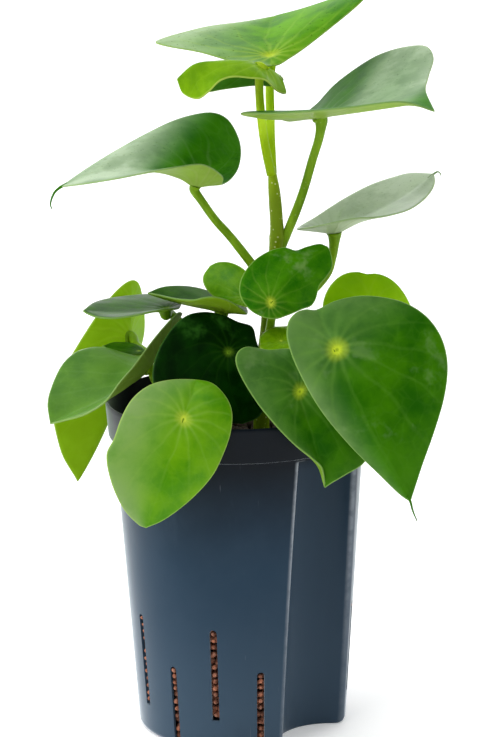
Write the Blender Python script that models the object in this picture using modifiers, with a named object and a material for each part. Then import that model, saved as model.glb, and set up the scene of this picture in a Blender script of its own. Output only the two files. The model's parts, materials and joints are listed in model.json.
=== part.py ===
"""Potted peperomia: a slotted culture pot, its clay filling, two stems and separate leaves.

Units are metres, +Z is up, the origin is the centre of the pot's underside and -Y is the front.
"""
import bisect
import math

import bmesh
import bpy
from mathutils import Vector
from mathutils.bvhtree import BVHTree

# Driving dimensions
MM = 0.001
GAP = 0.3 * MM

POT_HEIGHT = 190 * MM
RIM_RADIUS = 75 * MM
RIM_LOW_RADIUS = 73.6 * MM
RIM_DEPTH = 20 * MM
WALL_TOP_RADIUS = 70.5 * MM
BASE_RADIUS = 59 * MM
BASE_CHAMFER = 2.5 * MM
WALL = 1.6 * MM
FLOOR = 2.2 * MM
POT_STEPS = 48
HALF_STEP = math.pi / POT_STEPS

FLUTE_BEARING = 48.5
FLUTE_OFFSET = 66 * MM
FLUTE_LOW_RADIUS = 29 * MM
FLUTE_TOP_RADIUS = 24 * MM
FLUTE_TOP = 168 * MM
FLUTE_STEPS = 28

SLOT_WIDTH = 4.2 * MM
SLOT_BEARINGS_HIGH = (-110.5, -62.5, -14.5, 81.5, 129.5, 177.5)
SLOT_BEARINGS_LOW = (-86.5, -38.5, 9.5, 105.5, 153.5, 201.5)
SLOT_HIGH = (18 * MM, 72 * MM)
SLOT_LOW = (-2 * MM, 47 * MM)

FILL_TOP = 167 * MM
PEBBLE_COUNT = 62
PEBBLE_SPREAD = 7.7 * MM
PEBBLE_RADIUS = 5.6 * MM
PEBBLE_SEED_ANGLE = 137.508

BLADE_THICKNESS = 1.3 * MM
PETIOLE_RADIUS = 2.3 * MM
TAIL_RADIUS = 1.1 * MM
TAIL_TAPER = 0.1 * MM

# Stem centre lines: (x, y, z, radius) in millimetres
MAIN_STEM = ((12, -3, 152, 4.6), (13, -3, 180, 4.5), (14.5, -3, 205, 4.3),
             (18, -1.5, 240, 4.0), (21.5, 0, 268, 3.9), (22.8, 0, 280, 4.3),
             (22.7, 0, 289, 3.7), (21.8, 0, 304, 3.6), (20.5, 0, 322, 3.4))
LEFT_STEM = ((-14, -12, 152, 4.2), (-15, -12.5, 180, 4.2), (-16, -13, 205, 3.9),
             (-16, -13, 228, 3.6))

# Each leaf: five points of the blade in millimetres (base edge, eye, tip, widest left and
# widest right), how far along the blade each side is widest, how much each side bulges,
# the share of the length taken by the drip tip, the hook of the tip, the petiole's route
# in points between the blade and the stem, and the stem that it is seated on. A leaf with
# a wavy outline has points along its left and right margins, from base to tip, instead of
# the two widest points. A leaf whose midrib bends has more points along the midrib, its
# ridge, and a thin curled end has points of its own, its tail.
LEAVES = {
    "leaf_top": dict(
        base=(21, -20, 380), eye=(20, 0, 383), tip=(24, 97, 392), bulge=(.10, .12),
        left=((3, -10, 381), (-18, 4, 385), (-38, 16, 387), (-42, 30, 388), (-19, 64, 390),
              (4, 84, 390)),
        right=((31, -10, 383), (48, 4, 393), (70, 20, 408), (75, 34, 413), (69, 50, 411),
               (41, 92, 397)),
        route=((18.6, 1, 366), (18.4, 2.6, 349), (19, 3.4, 334), (20.2, 2.4, 317)),
        stem="main"),
    "leaf_crown_young": dict(
        base=(24.6, -20, 374.4), eye=(15.4, -26, 381.5), tip=(-30.7, -32, 374.8),
        ridge=((3.5, -28, 384), (-9, -29, 384), (-21, -30, 382.5)),
        left=((27, -26, 371), (28, -30, 366), (23, -36, 368.5), (17, -42, 375),
              (8.7, -45, 376.6), (-.5, -46, 377.5), (-7.5, -46, 375.5), (-13.5, -45, 370),
              (-20, -42, 366), (-27.6, -36, 368)),
        right=((27, -14, 371), (22.5, -8, 367), (13, -4, 366.7), (3.5, -3, 366),
               (-6.5, -4, 365.3), (-15.3, -10, 365), (-24, -20, 368.5)),
        bulge=(.12, .12),
        route=((12, -22, 366), (14.2, -11, 352), (17, -6.4, 335), (20, -2.6, 317)),
        stem="main"),
    "leaf_upper_right": dict(
        base=(33, 17, 344), eye=(47, -4, 349), tip=(107, -60, 360), bulge=(-.05, .14),
        left=((46, 36, 349), (60, 48, 361), (83, 46, 376), (105, 32, 383), (111, 16, 379),
              (107, -6, 371), (104, -32, 367)),
        right=((25, 1, 347), (17, -15, 350), (5, -26, 354), (5, -37, 357), (18, -47, 358),
               (37, -55, 360), (60, -60, 363), (88, -63, 366)),
        hook=(0, 0, -6),
        route=((46.6, -3, 337), (43, -1, 325), (36, 0, 302), (22.5, 0, 269)), stem="main"),
    "leaf_upper_left": dict(
        base=(-7.4, 3, 311), eye=(-22, 0, 311.5), tip=(-96.5, -6, 312.3),
        ridge=((-31.7, 0, 316), (-41.6, 0, 319.4), (-54, -1, 321.5), (-66.5, -2, 321),
               (-81.4, -4, 318.4)),
        left=((-6.7, -6, 316.6), (-12, -14, 322.6), (-19, -22, 326.5), (-28.4, -30, 327),
              (-39, -36, 326.5), (-51.7, -38, 324.5), (-64.3, -34, 321.3),
              (-79.6, -22, 317)),
        right=((-3, 14, 311.3), (1.6, 26, 315.4), (3.5, 36, 323), (2, 42, 331),
               (-3.6, 44, 340.5), (-12, 44, 344.6), (-23.4, 43, 343.7), (-36.4, 40, 340.4),
               (-51.6, 32, 334.5), (-66, 22, 328), (-81, 10, 320.5)),
        bulge=(-.02, .05),
        tail=((-96.5, -6, 312.3), (-99.8, -7, 309.7), (-101.8, -7, 305.8),
              (-102.4, -8, 302.6), (-101.6, -8, 300.4)),
        route=((-19, 0, 302.5), (-11.5, 0, 291.5), (-1, 0, 279), (19, -1, 252)),
        stem="main"),
    "leaf_mid_right": dict(
        base=(34, 3, 285), eye=(55, 10, 282), tip=(112.4, 34, 309.6),
        ridge=((68.5, 14, 287), (84, 20, 293), (99.6, 27, 300.7)),
        left=((38, 12, 286), (45, 22, 288), (53.4, 32, 291.5), (63.3, 40, 296),
              (76.7, 46, 301.3), (90, 48, 305), (101, 44, 308.3)),
        right=((39, -2, 286.5), (45.5, -8, 289), (54.8, -12, 292), (66, -14, 294.3),
               (77, -13, 294.2), (87, -8, 294.3), (97, 0, 295.4), (104.8, 10, 298.6),
               (110.4, 20, 303), (112.6, 28, 306.6)),
        bulge=(.04, .04),
        tail=((112, 34, 309.4), (114.4, 35, 310.6), (116, 36, 309.6), (116.6, 37, 307.8)),
        route=((54, 10, 268), (50, 9, 257), (38, 5, 246), (18, -1, 238)),
        stem="main"),
    "leaf_centre": dict(
        base=(13.6, -42, 245), eye=(19, -38, 252), tip=(50.8, -12, 277.5),
        left=((6.5, -40, 249), (1.7, -36, 255.6), (1.8, -31, 262), (5.2, -26, 268),
              (10.8, -21, 273), (18.6, -17, 276.7), (26.4, -15, 278), (32.5, -14, 276),
              (39.2, -12, 277.7), (46, -11, 279)),
        right=((21, -42, 243.7), (28.4, -38, 245), (35.7, -33, 247), (40.7, -29, 248),
               (43.6, -26, 251.7), (45.4, -23, 257.8), (49.4, -20, 262), (52.8, -17, 267),
               (52.4, -14, 273.4)),
        bulge=(.16, .16),
        route=((19, -30, 243), (17.5, -18, 230), (16, -3, 219)),
        stem="main"),
    "leaf_front_right": dict(
        base=(43, -64, 253.3), eye=(51.5, -84, 236), tip=(91.6, -97, 154.5),
        left=((53.5, -63, 258), (66, -62, 260.3), (79.5, -62, 259.3), (92, -62.5, 255.6),
              (103, -65, 248.2), (110.3, -69.5, 237.5), (113, -75, 224.3), (111, -81, 209),
              (105.4, -88, 192.1), (98.5, -92.5, 174)),
        right=((36.5, -66, 254), (31, -70, 252.8), (27, -76, 248.6), (26.8, -83, 240.6),
               (32, -90, 226.4), (43.5, -94, 205.7), (59.2, -96, 186), (75, -97, 169.5),
               (86, -97, 158.5)),
        bulge=(.12, .06),
        tail=((91.6, -97, 154.5), (93, -97, 149.1), (95.2, -97, 143.5)),
        route=((54, -70, 231), (52, -48, 222), (36, -20, 212), (14.5, -3, 206)), stem="main"),
    "leaf_back_right": dict(
        base=(74, 30, 253), eye=(75, 22, 229), tip=(93, 45, 168), left=(102, 34, 222),
        right=(49, 25, 229), wide=(.36, .38), drip=.05, bulge=(.15, .05),
        route=((70, 31, 226), (52, 26, 226), (32, 10, 226), (17, -2, 228)),
        stem="main"),
    "leaf_front_middle": dict(
        base=(28, -56, 230), eye=(33.5, -68, 209.3), tip=(46, -94, 162),
        left=((39, -60, 226), (54, -66, 212), (66.8, -74, 194), (71.3, -80, 181),
              (67.3, -85, 173), (57.4, -90, 168), (49.7, -93, 164.3)),
        right=((16.5, -55, 229.4), (4.5, -60, 232.4), (-1, -66, 229), (.5, -71, 221),
               (9, -78, 207), (19.5, -84, 194.6), (30, -88, 184.4), (39, -91, 177.8),
               (44.4, -93, 172.7)),
        bulge=(.1, .1),
        route=((33, -55, 203), (27, -34, 196), (19, -12, 190), (13, -3, 188)),
        stem="main"),
    "leaf_shoot": dict(
        base=(7.2, -23, 246.5), eye=(4, -20, 251.6), tip=(-14.7, -8, 267),
        left=((-1.7, -20, 247.7), (-11, -16, 250), (-17, -13, 255), (-18.7, -10, 261)),
        right=((9, -20, 252), (8.5, -16, 259), (4.7, -12, 265), (-2.5, -9, 268.6),
               (-9.7, -8, 269)),
        bulge=(.12, .12), small=True,
        route=((7, -15, 248.5), (12, -7, 244), (17.8, -1.5, 238)),
        stem="main"),
    "leaf_mid_left": dict(
        base=(5.5, -22, 242.4), eye=(-8.4, -18, 243.4), tip=(-49.8, -1, 250.6),
        left=((2.7, -29, 246.8), (-3.3, -37, 252.6), (-11.5, -43, 256.5), (-18, -43, 256.1),
              (-24, -39, 253.9), (-31.4, -31, 252.8), (-40.5, -17, 251.9)),
        right=((5.5, -11, 242.8), (1.7, -1, 244.1), (-6, 7, 246.1), (-14.6, 12, 248.5),
               (-22.5, 14, 250.5), (-31.5, 13, 251.7), (-41.5, 7, 252.1)),
        bulge=(.05, .05),
        route=((-11.5, -15.5, 237.5), (-15.5, -13, 231), (-16, -13, 223)),
        stem="left"),
    "leaf_left_flat": dict(
        base=(-31.3, -6, 244.6), eye=(-40.2, -8, 242.8), tip=(-85.8, -10, 242.8),
        left=((-32.8, -18, 245), (-39, -28, 247), (-47.8, -36, 247), (-57, -38, 245.7),
              (-67.7, -34, 243.8), (-77.5, -24, 242.3), (-83.4, -14, 242)),
        right=((-31.4, 6, 244.8), (-39, 18, 244.4), (-49.3, 25, 244), (-60.6, 25, 243.5),
               (-71.8, 20, 243.3), (-80.4, 8, 243.4)),
        bulge=(.1, .1),
        route=((-38, 0, 239), (-33, 2, 234), (-24, -4, 228), (-16, -13, 220)),
        stem="left"),
    "leaf_far_left": dict(
        base=(-61, 51, 247), eye=(-63, 48, 214.5), tip=(-94, 40, 131), bulge=(.10, .10),
        left=((-75, 42, 236), (-95, 30, 208), (-107, 26, 187), (-103, 32, 153)),
        right=((-55, 62, 238), (-55, 78, 208), (-66, 80, 183), (-82, 58, 151)),
        route=((-57, 38, 211), (-43, 13, 207), (-28, -4, 204), (-16, -13, 202)), stem="left"),
    "leaf_left_sliver": dict(
        base=(-52.5, 19, 212.7), eye=(-56, 19, 212.7), tip=(-77.3, 26, 214.3),
        left=(-65, 13, 211.8), right=(-65.7, 36, 214), wide=(.38, .38), drip=.02,
        bulge=(.1, .1), small=True,
        route=((-54, 20, 207.5), (-45, 5, 207.5), (-30, -8, 209), (-16, -13, 210)),
        stem="left"),
    "leaf_left_front": dict(
        base=(-30.6, -14, 241.7), eye=(-50, -24, 213), tip=(-104.3, -37, 185),
        ridge=((-61, -27, 204), (-73.3, -31, 197.3), (-89, -34, 191)),
        left=((-33.8, -22, 243), (-42.6, -32, 235.7), (-51, -40, 226.4),
              (-57.5, -46, 218.8), (-64.6, -50, 211.5), (-73, -52, 200.8),
              (-84.3, -48, 192.6), (-95.7, -42, 188)),
        right=((-33, -6, 237), (-41.7, -4, 227), (-49.8, -2, 217.6), (-56, 2, 213.3),
               (-65.3, 8, 214.3), (-75, 12, 216.4), (-83.4, 12, 216.5), (-92, 8, 214.7),
               (-99, 0, 209.7), (-104, -12, 201), (-106, -26, 193.7)),
        bulge=(.04, .1),
        route=((-45, -22, 204), (-35, -21, 198), (-25, -16, 195), (-16, -13, 194)),
        stem="left"),
    "leaf_heart": dict(
        base=(.4, -30, 239.7), eye=(-5.3, -42, 225.6), tip=(2.3, -62, 189.8),
        left=((8, -27, 236), (10.5, -31, 228), (15, -38, 216.5), (16.5, -47, 203),
              (11.7, -56, 193)),
        right=((-8.4, -30, 243.8), (-18.8, -32, 246), (-29, -36, 244.3),
               (-38.6, -42, 235.6), (-45.8, -50, 222.4), (-45.4, -58, 209.7),
               (-32, -62, 199.3), (-13, -63, 192)),
        bulge=(.12, .12),
        route=((-6, -34, 221), (-10, -24, 213), (-16, -13, 209)),
        stem="left"),
    "leaf_front_left": dict(
        base=(-22.8, -66, 215.8), eye=(-29.4, -84, 199.2), tip=(-50.6, -100, 142.8),
        left=((-13.6, -66, 213.5), (-6.7, -70, 207), (-3.6, -74, 199.7), (-4.2, -78, 190.6),
              (-7.6, -83, 180.8), (-14.8, -89, 168), (-26.8, -95, 156.5),
              (-40.3, -99, 147.2)),
        right=((-35.8, -70, 217), (-47.5, -77, 216), (-56.6, -84, 210.7),
               (-62.5, -90, 202.3), (-67, -95, 191), (-71, -99, 183), (-68.8, -101, 169),
               (-62.7, -101, 154.2), (-55, -100, 145)),
        bulge=(.2, .15),
        route=((-29, -73, 197), (-27, -62, 193), (-24, -50, 182), (-23, -46, 168),
               (-23, -45, 153)),
        stem="soil"),
    "leaf_low_young": dict(
        base=(30.5, -34, 230.6), eye=(24, -36, 230), tip=(12.5, -35, 228.3),
        left=((29.3, -42, 227.3), (20, -46, 226), (12.8, -40, 226.6)),
        right=((29.6, -28, 234.3), (19.7, -26, 235), (13, -29, 231.4)),
        bulge=(.1, .1), small=True,
        route=((24, -30, 222), (20, -16, 214), (14, -3, 212)),
        stem="main"),
    "leaf_back_right_low": dict(
        base=(44, 34, 212), eye=(46, 52, 210), tip=(52, 112, 166), left=(18, 78, 196),
        right=(80, 68, 200), wide=(.38, .38), bulge=(.20, .20), drip=.05,
        route=((44, 46, 203), (32, 26, 199), (20, 8, 197), (13.5, -3, 196)), stem="main"),
    "leaf_back_left_low": dict(
        base=(-20, 30, 208), eye=(-24, 48, 208), tip=(-36, 108, 160), left=(-56, 58, 196),
        right=(6, 74, 194), wide=(.38, .38), bulge=(.20, .20), drip=.05,
        route=((-23, 44, 201), (-21, 26, 195), (-18, 4, 190), (-15.5, -13, 187)),
        stem="left"),
}


def millimetres(point):
    """A point in metres from one in millimetres."""
    return Vector(point) * MM


def collection(name):
    """A new collection in the scene."""
    made = bpy.data.collections.new(name)
    bpy.context.scene.collection.children.link(made)
    return made


def material(name, colour, roughness, metallic=0.0):
    """A plain Principled material."""
    made = bpy.data.materials.new(name)
    made.use_nodes = True
    shader = made.node_tree.nodes["Principled BSDF"]
    shader.inputs["Base Color"].default_value = (*colour, 1.0)
    shader.inputs["Roughness"].default_value = roughness
    shader.inputs["Metallic"].default_value = metallic
    return made


def add_object(name, mesh, home, look=None):
    """An object for a mesh, in one collection, with one material."""
    made = bpy.data.objects.new(name, mesh)
    home.objects.link(made)
    if look is not None:
        mesh.materials.append(look)
    return made


def mesh_from(bm, name):
    """A mesh from a bmesh, with its faces turned outward."""
    bmesh.ops.recalc_face_normals(bm, faces=bm.faces)
    mesh = bpy.data.meshes.new(name)
    bm.to_mesh(mesh)
    bm.free()
    return mesh


def as_cutter(tool):
    """Marks an object as a cutter that isn't part of the model."""
    tool.hide_render = True
    tool.display_type = "WIRE"
    return tool


def boolean(target, tool, operation):
    """A Boolean modifier with the exact solver."""
    step = target.modifiers.new(operation.title() + " " + tool.name, "BOOLEAN")
    step.operation = operation
    step.solver = "EXACT"
    step.object = tool
    return step


def turned(name, profile, home, look=None, start=0.0):
    """A solid of revolution from (radius, height) points that start and end on the axis."""
    mesh = bpy.data.meshes.new(name)
    edges = [(i, i + 1) for i in range(len(profile) - 1)]
    east, north = math.cos(start), math.sin(start)
    mesh.from_pydata([(r * east, r * north, z) for r, z in profile], edges, [])
    made = add_object(name, mesh, home, look)
    screw = made.modifiers.new("Turn", "SCREW")
    screw.angle = math.tau
    screw.steps = POT_STEPS
    screw.render_steps = POT_STEPS
    screw.use_merge_vertices = True
    screw.merge_threshold = 0.00001
    screw.use_smooth_shade = True
    return made


def bake(source, name, home, look=None):
    """Replaces an object by its evaluated mesh, welded at the ends."""
    depsgraph = bpy.context.evaluated_depsgraph_get()
    mesh = bpy.data.meshes.new_from_object(source.evaluated_get(depsgraph))
    bm = bmesh.new()
    bm.from_mesh(mesh)
    bmesh.ops.remove_doubles(bm, verts=bm.verts, dist=0.000001)
    bmesh.ops.triangulate(bm, faces=[f for f in bm.faces if len(f.verts) > 4])
    bmesh.ops.recalc_face_normals(bm, faces=bm.faces)
    bm.to_mesh(mesh)
    bm.free()
    mesh.name = name
    mesh.materials.clear()
    place = source.matrix_world.copy()
    bpy.data.objects.remove(source)
    made = add_object(name, mesh, home, look)
    made.matrix_world = place
    return made


def tube(name, points, home, look=None, sides=2):
    """A round rod through (position, radius) points with closed ends, as a mesh."""
    curve = bpy.data.curves.new(name, "CURVE")
    curve.dimensions = "3D"
    curve.bevel_depth = 1.0
    curve.bevel_resolution = sides
    curve.use_fill_caps = True
    curve.twist_mode = "MINIMUM"
    spline = curve.splines.new("POLY")
    spline.points.add(len(points) - 1)
    for item, (place, radius) in zip(spline.points, points):
        item.co = (*place, 1.0)
        item.radius = radius
    rod = bpy.data.objects.new(name + "_line", curve)
    home.objects.link(rod)
    bpy.context.view_layer.update()
    return bake(rod, name, home, look)


def smooth_route(points, count):
    """Points along a Catmull-Rom line through the given points."""
    ends = [points[0] * 2 - points[1]] + list(points) + [points[-1] * 2 - points[-2]]
    found = []
    spans = len(points) - 1
    for step in range(count + 1):
        where = step * spans / count
        index = min(int(where), spans - 1)
        t = where - index
        a, b, c, d = ends[index:index + 4]
        found.append(0.5 * ((2 * b) + (c - a) * t + (2 * a - 5 * b + 4 * c - d) * t * t
                            + (3 * b - a - 3 * c + d) * t ** 3))
    return found


def blade_profile(u, widest, drip, blunt):
    """The share of the full half width at the fraction u of the blade's length."""
    share = min(max(u / (1 - drip), 0.0), 1.0)
    power = math.log(0.5) / math.log(widest / (1 - drip))
    core = max(math.sin(math.pi * share ** power), 0.0) ** (blunt + 0.45 * share)
    return core + 0.10 * u ** 4 * math.sqrt(max(1 - u, 0.0))


class Margin:
    """A smooth edge line through points, read by its share of the length."""

    def __init__(self, points):
        self.line = smooth_route(points, 24 * (len(points) - 1))[24:]
        self.marks = [0.0]
        for near, far in zip(self.line, self.line[1:]):
            self.marks.append(self.marks[-1] + (far - near).length)

    def at(self, share):
        """The point at a share of the length."""
        goal = min(max(share, 0.0), 1.0) * self.marks[-1]
        index = min(max(bisect.bisect_right(self.marks, goal) - 1, 0), len(self.line) - 2)
        step = self.marks[index + 1] - self.marks[index]
        return self.line[index].lerp(self.line[index + 1], (goal - self.marks[index]) / step)


class Blade:
    """The curved surface of one leaf, drawn through its points."""

    def __init__(self, leaf):
        self.base, self.eye = millimetres(leaf["base"]), millimetres(leaf["eye"])
        self.hook = millimetres(leaf.get("hook", (0, 0, 0)))
        self.tip = millimetres(leaf["tip"]) - self.hook
        self.bulge = leaf["bulge"]
        back = (self.base - self.eye).length
        self.eye_at = back / (back + (self.tip - self.eye).length)
        self.ridge = None
        if "ridge" in leaf:
            route = ([self.base, self.eye] + [millimetres(p) for p in leaf["ridge"]]
                     + [self.tip])
            self.ridge = Margin([self.base * 2 - self.eye] + route)
            self.eye_at = self.ridge.marks[24] / self.ridge.marks[-1]
        self.margins = None
        if "wide" in leaf:
            self.wide, self.drip = leaf["wide"], leaf["drip"]
            self.blunt = leaf.get("blunt", 0.62)
            self.arms = (millimetres(leaf["left"]) - self.midrib(self.wide[0]),
                         millimetres(leaf["right"]) - self.midrib(self.wide[1]))
        else:
            sides = [[millimetres(p) for p in leaf[side]] for side in ("left", "right")]
            self.margins = [Margin([sides[1 - i][0], self.base] + sides[i]
                                   + [self.tip + self.hook]) for i in (0, 1)]
            self.arms = tuple(edge.at(0.5) - self.midrib(0.5) for edge in self.margins)
        self.across = (self.arms[0].normalized() - self.arms[1].normalized()).normalized()

    def midrib(self, u):
        """The point of the midrib at the fraction u of the blade's length."""
        if self.ridge:
            return self.ridge.at(u)
        e = self.eye_at
        place = (self.base * ((u - e) * (u - 1) / e)
                 + self.eye * (u * (u - 1) / (e * (e - 1)))
                 + self.tip * (u * (u - e) / (1 - e)))
        return place + self.hook * max((u - 0.82) / 0.18, 0.0) ** 2

    def normal(self, u):
        """The upper side's direction at the fraction u of the midrib."""
        u = min(max(u, 0.004), 0.996)
        along = (self.midrib(u + 0.004) - self.midrib(u - 0.004)).normalized()
        return along.cross(self.across).normalized()

    def reach(self, u, side):
        """The way from the midrib to one margin at the fraction u of the length."""
        if self.margins:
            return self.margins[side].at(u) - self.midrib(u)
        return self.arms[side] * blade_profile(u, self.wide[side], self.drip, self.blunt)

    def point(self, u, v):
        """The surface point at u along the blade and v across it, v = 1 at the left margin."""
        if v == 0:
            return self.midrib(u)
        side = 0 if v > 0 else 1
        reach, normal = self.reach(u, side), self.normal(u)
        v = abs(v) ** 0.9
        rise = normal * reach.dot(normal)
        soft = (math.sqrt(v * v + 0.0225) - 0.15) / (math.sqrt(1.0225) - 0.15)
        return (self.midrib(u) + (reach - rise) * v + rise * soft
                + normal * (self.bulge[side] * reach.length * (v - v * v)))


def blade_mesh(blade, rows, columns, name):
    """A grid laid over the blade, closed to a point at both ends, all in triangles."""
    bm = bmesh.new()
    bmesh.ops.create_grid(bm, x_segments=rows, y_segments=columns, size=0.5)
    for vert in bm.verts:
        k = vert.co.x + 0.5
        u = 0.6 * (1 - math.cos(math.pi * k)) / 2 + 0.4 * k
        vert.co = blade.point(u, round(vert.co.y * 2, 6))
    bmesh.ops.remove_doubles(bm, verts=bm.verts, dist=0.00002)
    bmesh.ops.triangulate(bm, faces=bm.faces)
    mesh = bpy.data.meshes.new(name)
    bm.to_mesh(mesh)
    bm.free()
    return mesh


def leaf_object(name, leaf, sleeves, home, guides, look):
    """One leaf: a thin blade and its petiole as one body, cut to sit on its stem."""
    blade = Blade(leaf)
    small = leaf.get("small", False)
    rows, columns = (8, 4) if small else (14, 6)
    made = add_object(name, blade_mesh(blade, rows, columns, name), home, look)
    skin = made.modifiers.new("Thickness", "SOLIDIFY")
    skin.thickness = BLADE_THICKNESS
    skin.offset = 0.0
    skin.use_even_offset = False
    under = -blade.normal(blade.eye_at)
    seat = BVHTree.FromPolygons([v.co for v in made.data.vertices],
                                [p.vertices for p in made.data.polygons])
    start = seat.find_nearest(blade.eye)[0] + under * (BLADE_THICKNESS * 0.45)
    route = [start, start + under * (4 * MM)] + [millimetres(p) for p in leaf["route"]]
    steps = 7 if small else 9
    line = smooth_route(route, steps)
    slim = 0.62 if small else 1.0
    radii = [slim * PETIOLE_RADIUS * (1.0 + 0.6 * max(0.0, 1 - 2.6 * i / steps) ** 2
                                      + 0.12 * (i / steps) ** 2) for i in range(steps + 1)]
    rod = tube(name + "_petiole", list(zip(line, radii)), guides, sides=1)
    boolean(made, as_cutter(rod), "UNION")
    if "tail" in leaf:
        points = [millimetres(p) for p in leaf["tail"]]
        points.insert(0, points[0] + (blade.midrib(0.96) - blade.midrib(1.0)).normalized()
                      * (4 * MM))
        line = smooth_route(points, 6)
        thread = tube(name + "_tail", [(place, TAIL_RADIUS - i * TAIL_TAPER)
                                       for i, place in enumerate(line)], guides, sides=0)
        boolean(made, as_cutter(thread), "UNION")
    if leaf["stem"] in sleeves:
        boolean(made, sleeves[leaf["stem"]], "DIFFERENCE")
    return made


def stem_object(name, line, home, guides, look):
    """A stem and the cutter that is a little wider than it."""
    points = [(millimetres(p[:3]), p[3] * MM) for p in line]
    made = tube(name, points, home, look, sides=2)
    wider = [(place, radius + GAP) for place, radius in points]
    wider[0] = (wider[0][0] - Vector((0, 0, GAP)), wider[0][1])
    wider[-1] = (wider[-1][0] + Vector((0, 0, GAP)), wider[-1][1])
    sleeve = as_cutter(tube(name + "_room", wider, guides, sides=2))
    return made, sleeve


def flute_solid(name, extra, top, home):
    """The upright tapering round groove for the gauge, wider by extra."""
    bm = bmesh.new()
    low = -4 * MM
    slope = (FLUTE_LOW_RADIUS - FLUTE_TOP_RADIUS) / FLUTE_TOP
    bmesh.ops.create_cone(bm, cap_ends=True, segments=FLUTE_STEPS,
                          radius1=FLUTE_LOW_RADIUS - slope * low + extra,
                          radius2=FLUTE_LOW_RADIUS - slope * top + extra, depth=top - low)
    bearing = math.radians(FLUTE_BEARING)
    centre = Vector((math.sin(bearing), -math.cos(bearing), 0)) * FLUTE_OFFSET
    bmesh.ops.translate(bm, verts=bm.verts, vec=centre + Vector((0, 0, (top + low) / 2)))
    return as_cutter(add_object(name, mesh_from(bm, name), home))


def slot_cutter(name, bearings, span, home):
    """Radial slots with round tops, as one mesh of separate bars."""
    bm = bmesh.new()
    low, high = span
    for bearing in bearings:
        turn = math.radians(bearing)
        out = Vector((math.sin(turn), -math.cos(turn), 0))
        side = Vector((math.cos(turn), math.sin(turn), 0))
        half = SLOT_WIDTH / 2
        outline = [(-half, low), (half, low)]
        outline += [(half * math.cos(a), high - half + half * math.sin(a))
                    for a in (math.pi * i / 6 for i in range(7))]
        near = [bm.verts.new(out * (50 * MM) + side * x + Vector((0, 0, z)))
                for x, z in outline]
        face = bm.faces.new(near)
        grown = bmesh.ops.extrude_face_region(bm, geom=[face])
        moved = [g for g in grown["geom"] if isinstance(g, bmesh.types.BMVert)]
        bmesh.ops.translate(bm, verts=moved, vec=out * (30 * MM))
    return as_cutter(add_object(name, mesh_from(bm, name), home))


def inner_radius(z):
    """The pot's inside radius below its rim."""
    share = z / (POT_HEIGHT - RIM_DEPTH)
    return BASE_RADIUS + (WALL_TOP_RADIUS - BASE_RADIUS) * share - WALL


def pot_objects(home, guides, look):
    """The thin-walled pot with its rim, groove and slots."""
    neck = POT_HEIGHT - RIM_DEPTH
    pot = turned("pot", [
        (0, 0), (BASE_RADIUS - BASE_CHAMFER, 0), (BASE_RADIUS, BASE_CHAMFER),
        (WALL_TOP_RADIUS, neck - 2 * MM), (RIM_LOW_RADIUS - 1 * MM, neck - 1 * MM),
        (RIM_LOW_RADIUS, neck), (RIM_RADIUS, POT_HEIGHT - 0.8 * MM),
        (RIM_RADIUS - 0.8 * MM, POT_HEIGHT), (0, POT_HEIGHT)][::-1], home, look)
    hollow = turned("pot_hollow", [
        (0, FLOOR), (inner_radius(FLOOR) - 1 * MM, FLOOR),
        (inner_radius(FLOOR + 1.5 * MM), FLOOR + 1.5 * MM), (inner_radius(neck), neck),
        (RIM_LOW_RADIUS - WALL, neck + WALL), (RIM_RADIUS - WALL, POT_HEIGHT + 1 * MM),
        (0, POT_HEIGHT + 1 * MM)][::-1], guides, start=HALF_STEP)
    groove = flute_solid("groove", 0.0, FLUTE_TOP, guides)
    groove_wall = flute_solid("groove_wall", WALL, FLUTE_TOP + WALL, guides)
    boolean(as_cutter(hollow), groove_wall, "DIFFERENCE")
    hollow = as_cutter(bake_now(hollow, "pot_inside", guides))
    boolean(pot, groove, "DIFFERENCE")
    boolean(pot, hollow, "DIFFERENCE")
    boolean(pot, slot_cutter("slots_high", SLOT_BEARINGS_HIGH, SLOT_HIGH, guides),
            "DIFFERENCE")
    boolean(pot, slot_cutter("slots_low", SLOT_BEARINGS_LOW, SLOT_LOW, guides), "DIFFERENCE")
    return pot


def bake_now(source, name, home, look=None):
    """Updates the scene, then replaces an object by its evaluated mesh."""
    bpy.context.view_layer.update()
    return bake(source, name, home, look)


def pebble_cutter(name, home):
    """Rounded pebble tops in a sunflower pattern, all apart from each other."""
    bm = bmesh.new()
    bearing = math.radians(FLUTE_BEARING)
    flute = Vector((math.sin(bearing), -math.cos(bearing), 0)) * FLUTE_OFFSET
    for index in range(1, PEBBLE_COUNT + 1):
        reach = PEBBLE_SPREAD * math.sqrt(index)
        turn = math.radians(PEBBLE_SEED_ANGLE * index)
        place = Vector((reach * math.cos(turn), reach * math.sin(turn), 0))
        if (place - flute).length < FLUTE_TOP_RADIUS + WALL + GAP + PEBBLE_RADIUS * 1.1:
            continue
        grain = bmesh.ops.create_uvsphere(bm, u_segments=7, v_segments=4,
                                          radius=PEBBLE_RADIUS)["verts"]
        squash = 0.8 + 0.2 * math.sin(index * 2.3)
        lift = FILL_TOP + (0.2 + 1.5 * math.sin(index * 1.7)) * MM
        for vert in grain:
            vert.co.x *= 0.9 + 0.1 * math.cos(index * 3.1)
            vert.co.z *= squash
            vert.co += place + Vector((0, 0, lift))
    return as_cutter(add_object(name, mesh_from(bm, name), home))


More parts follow.
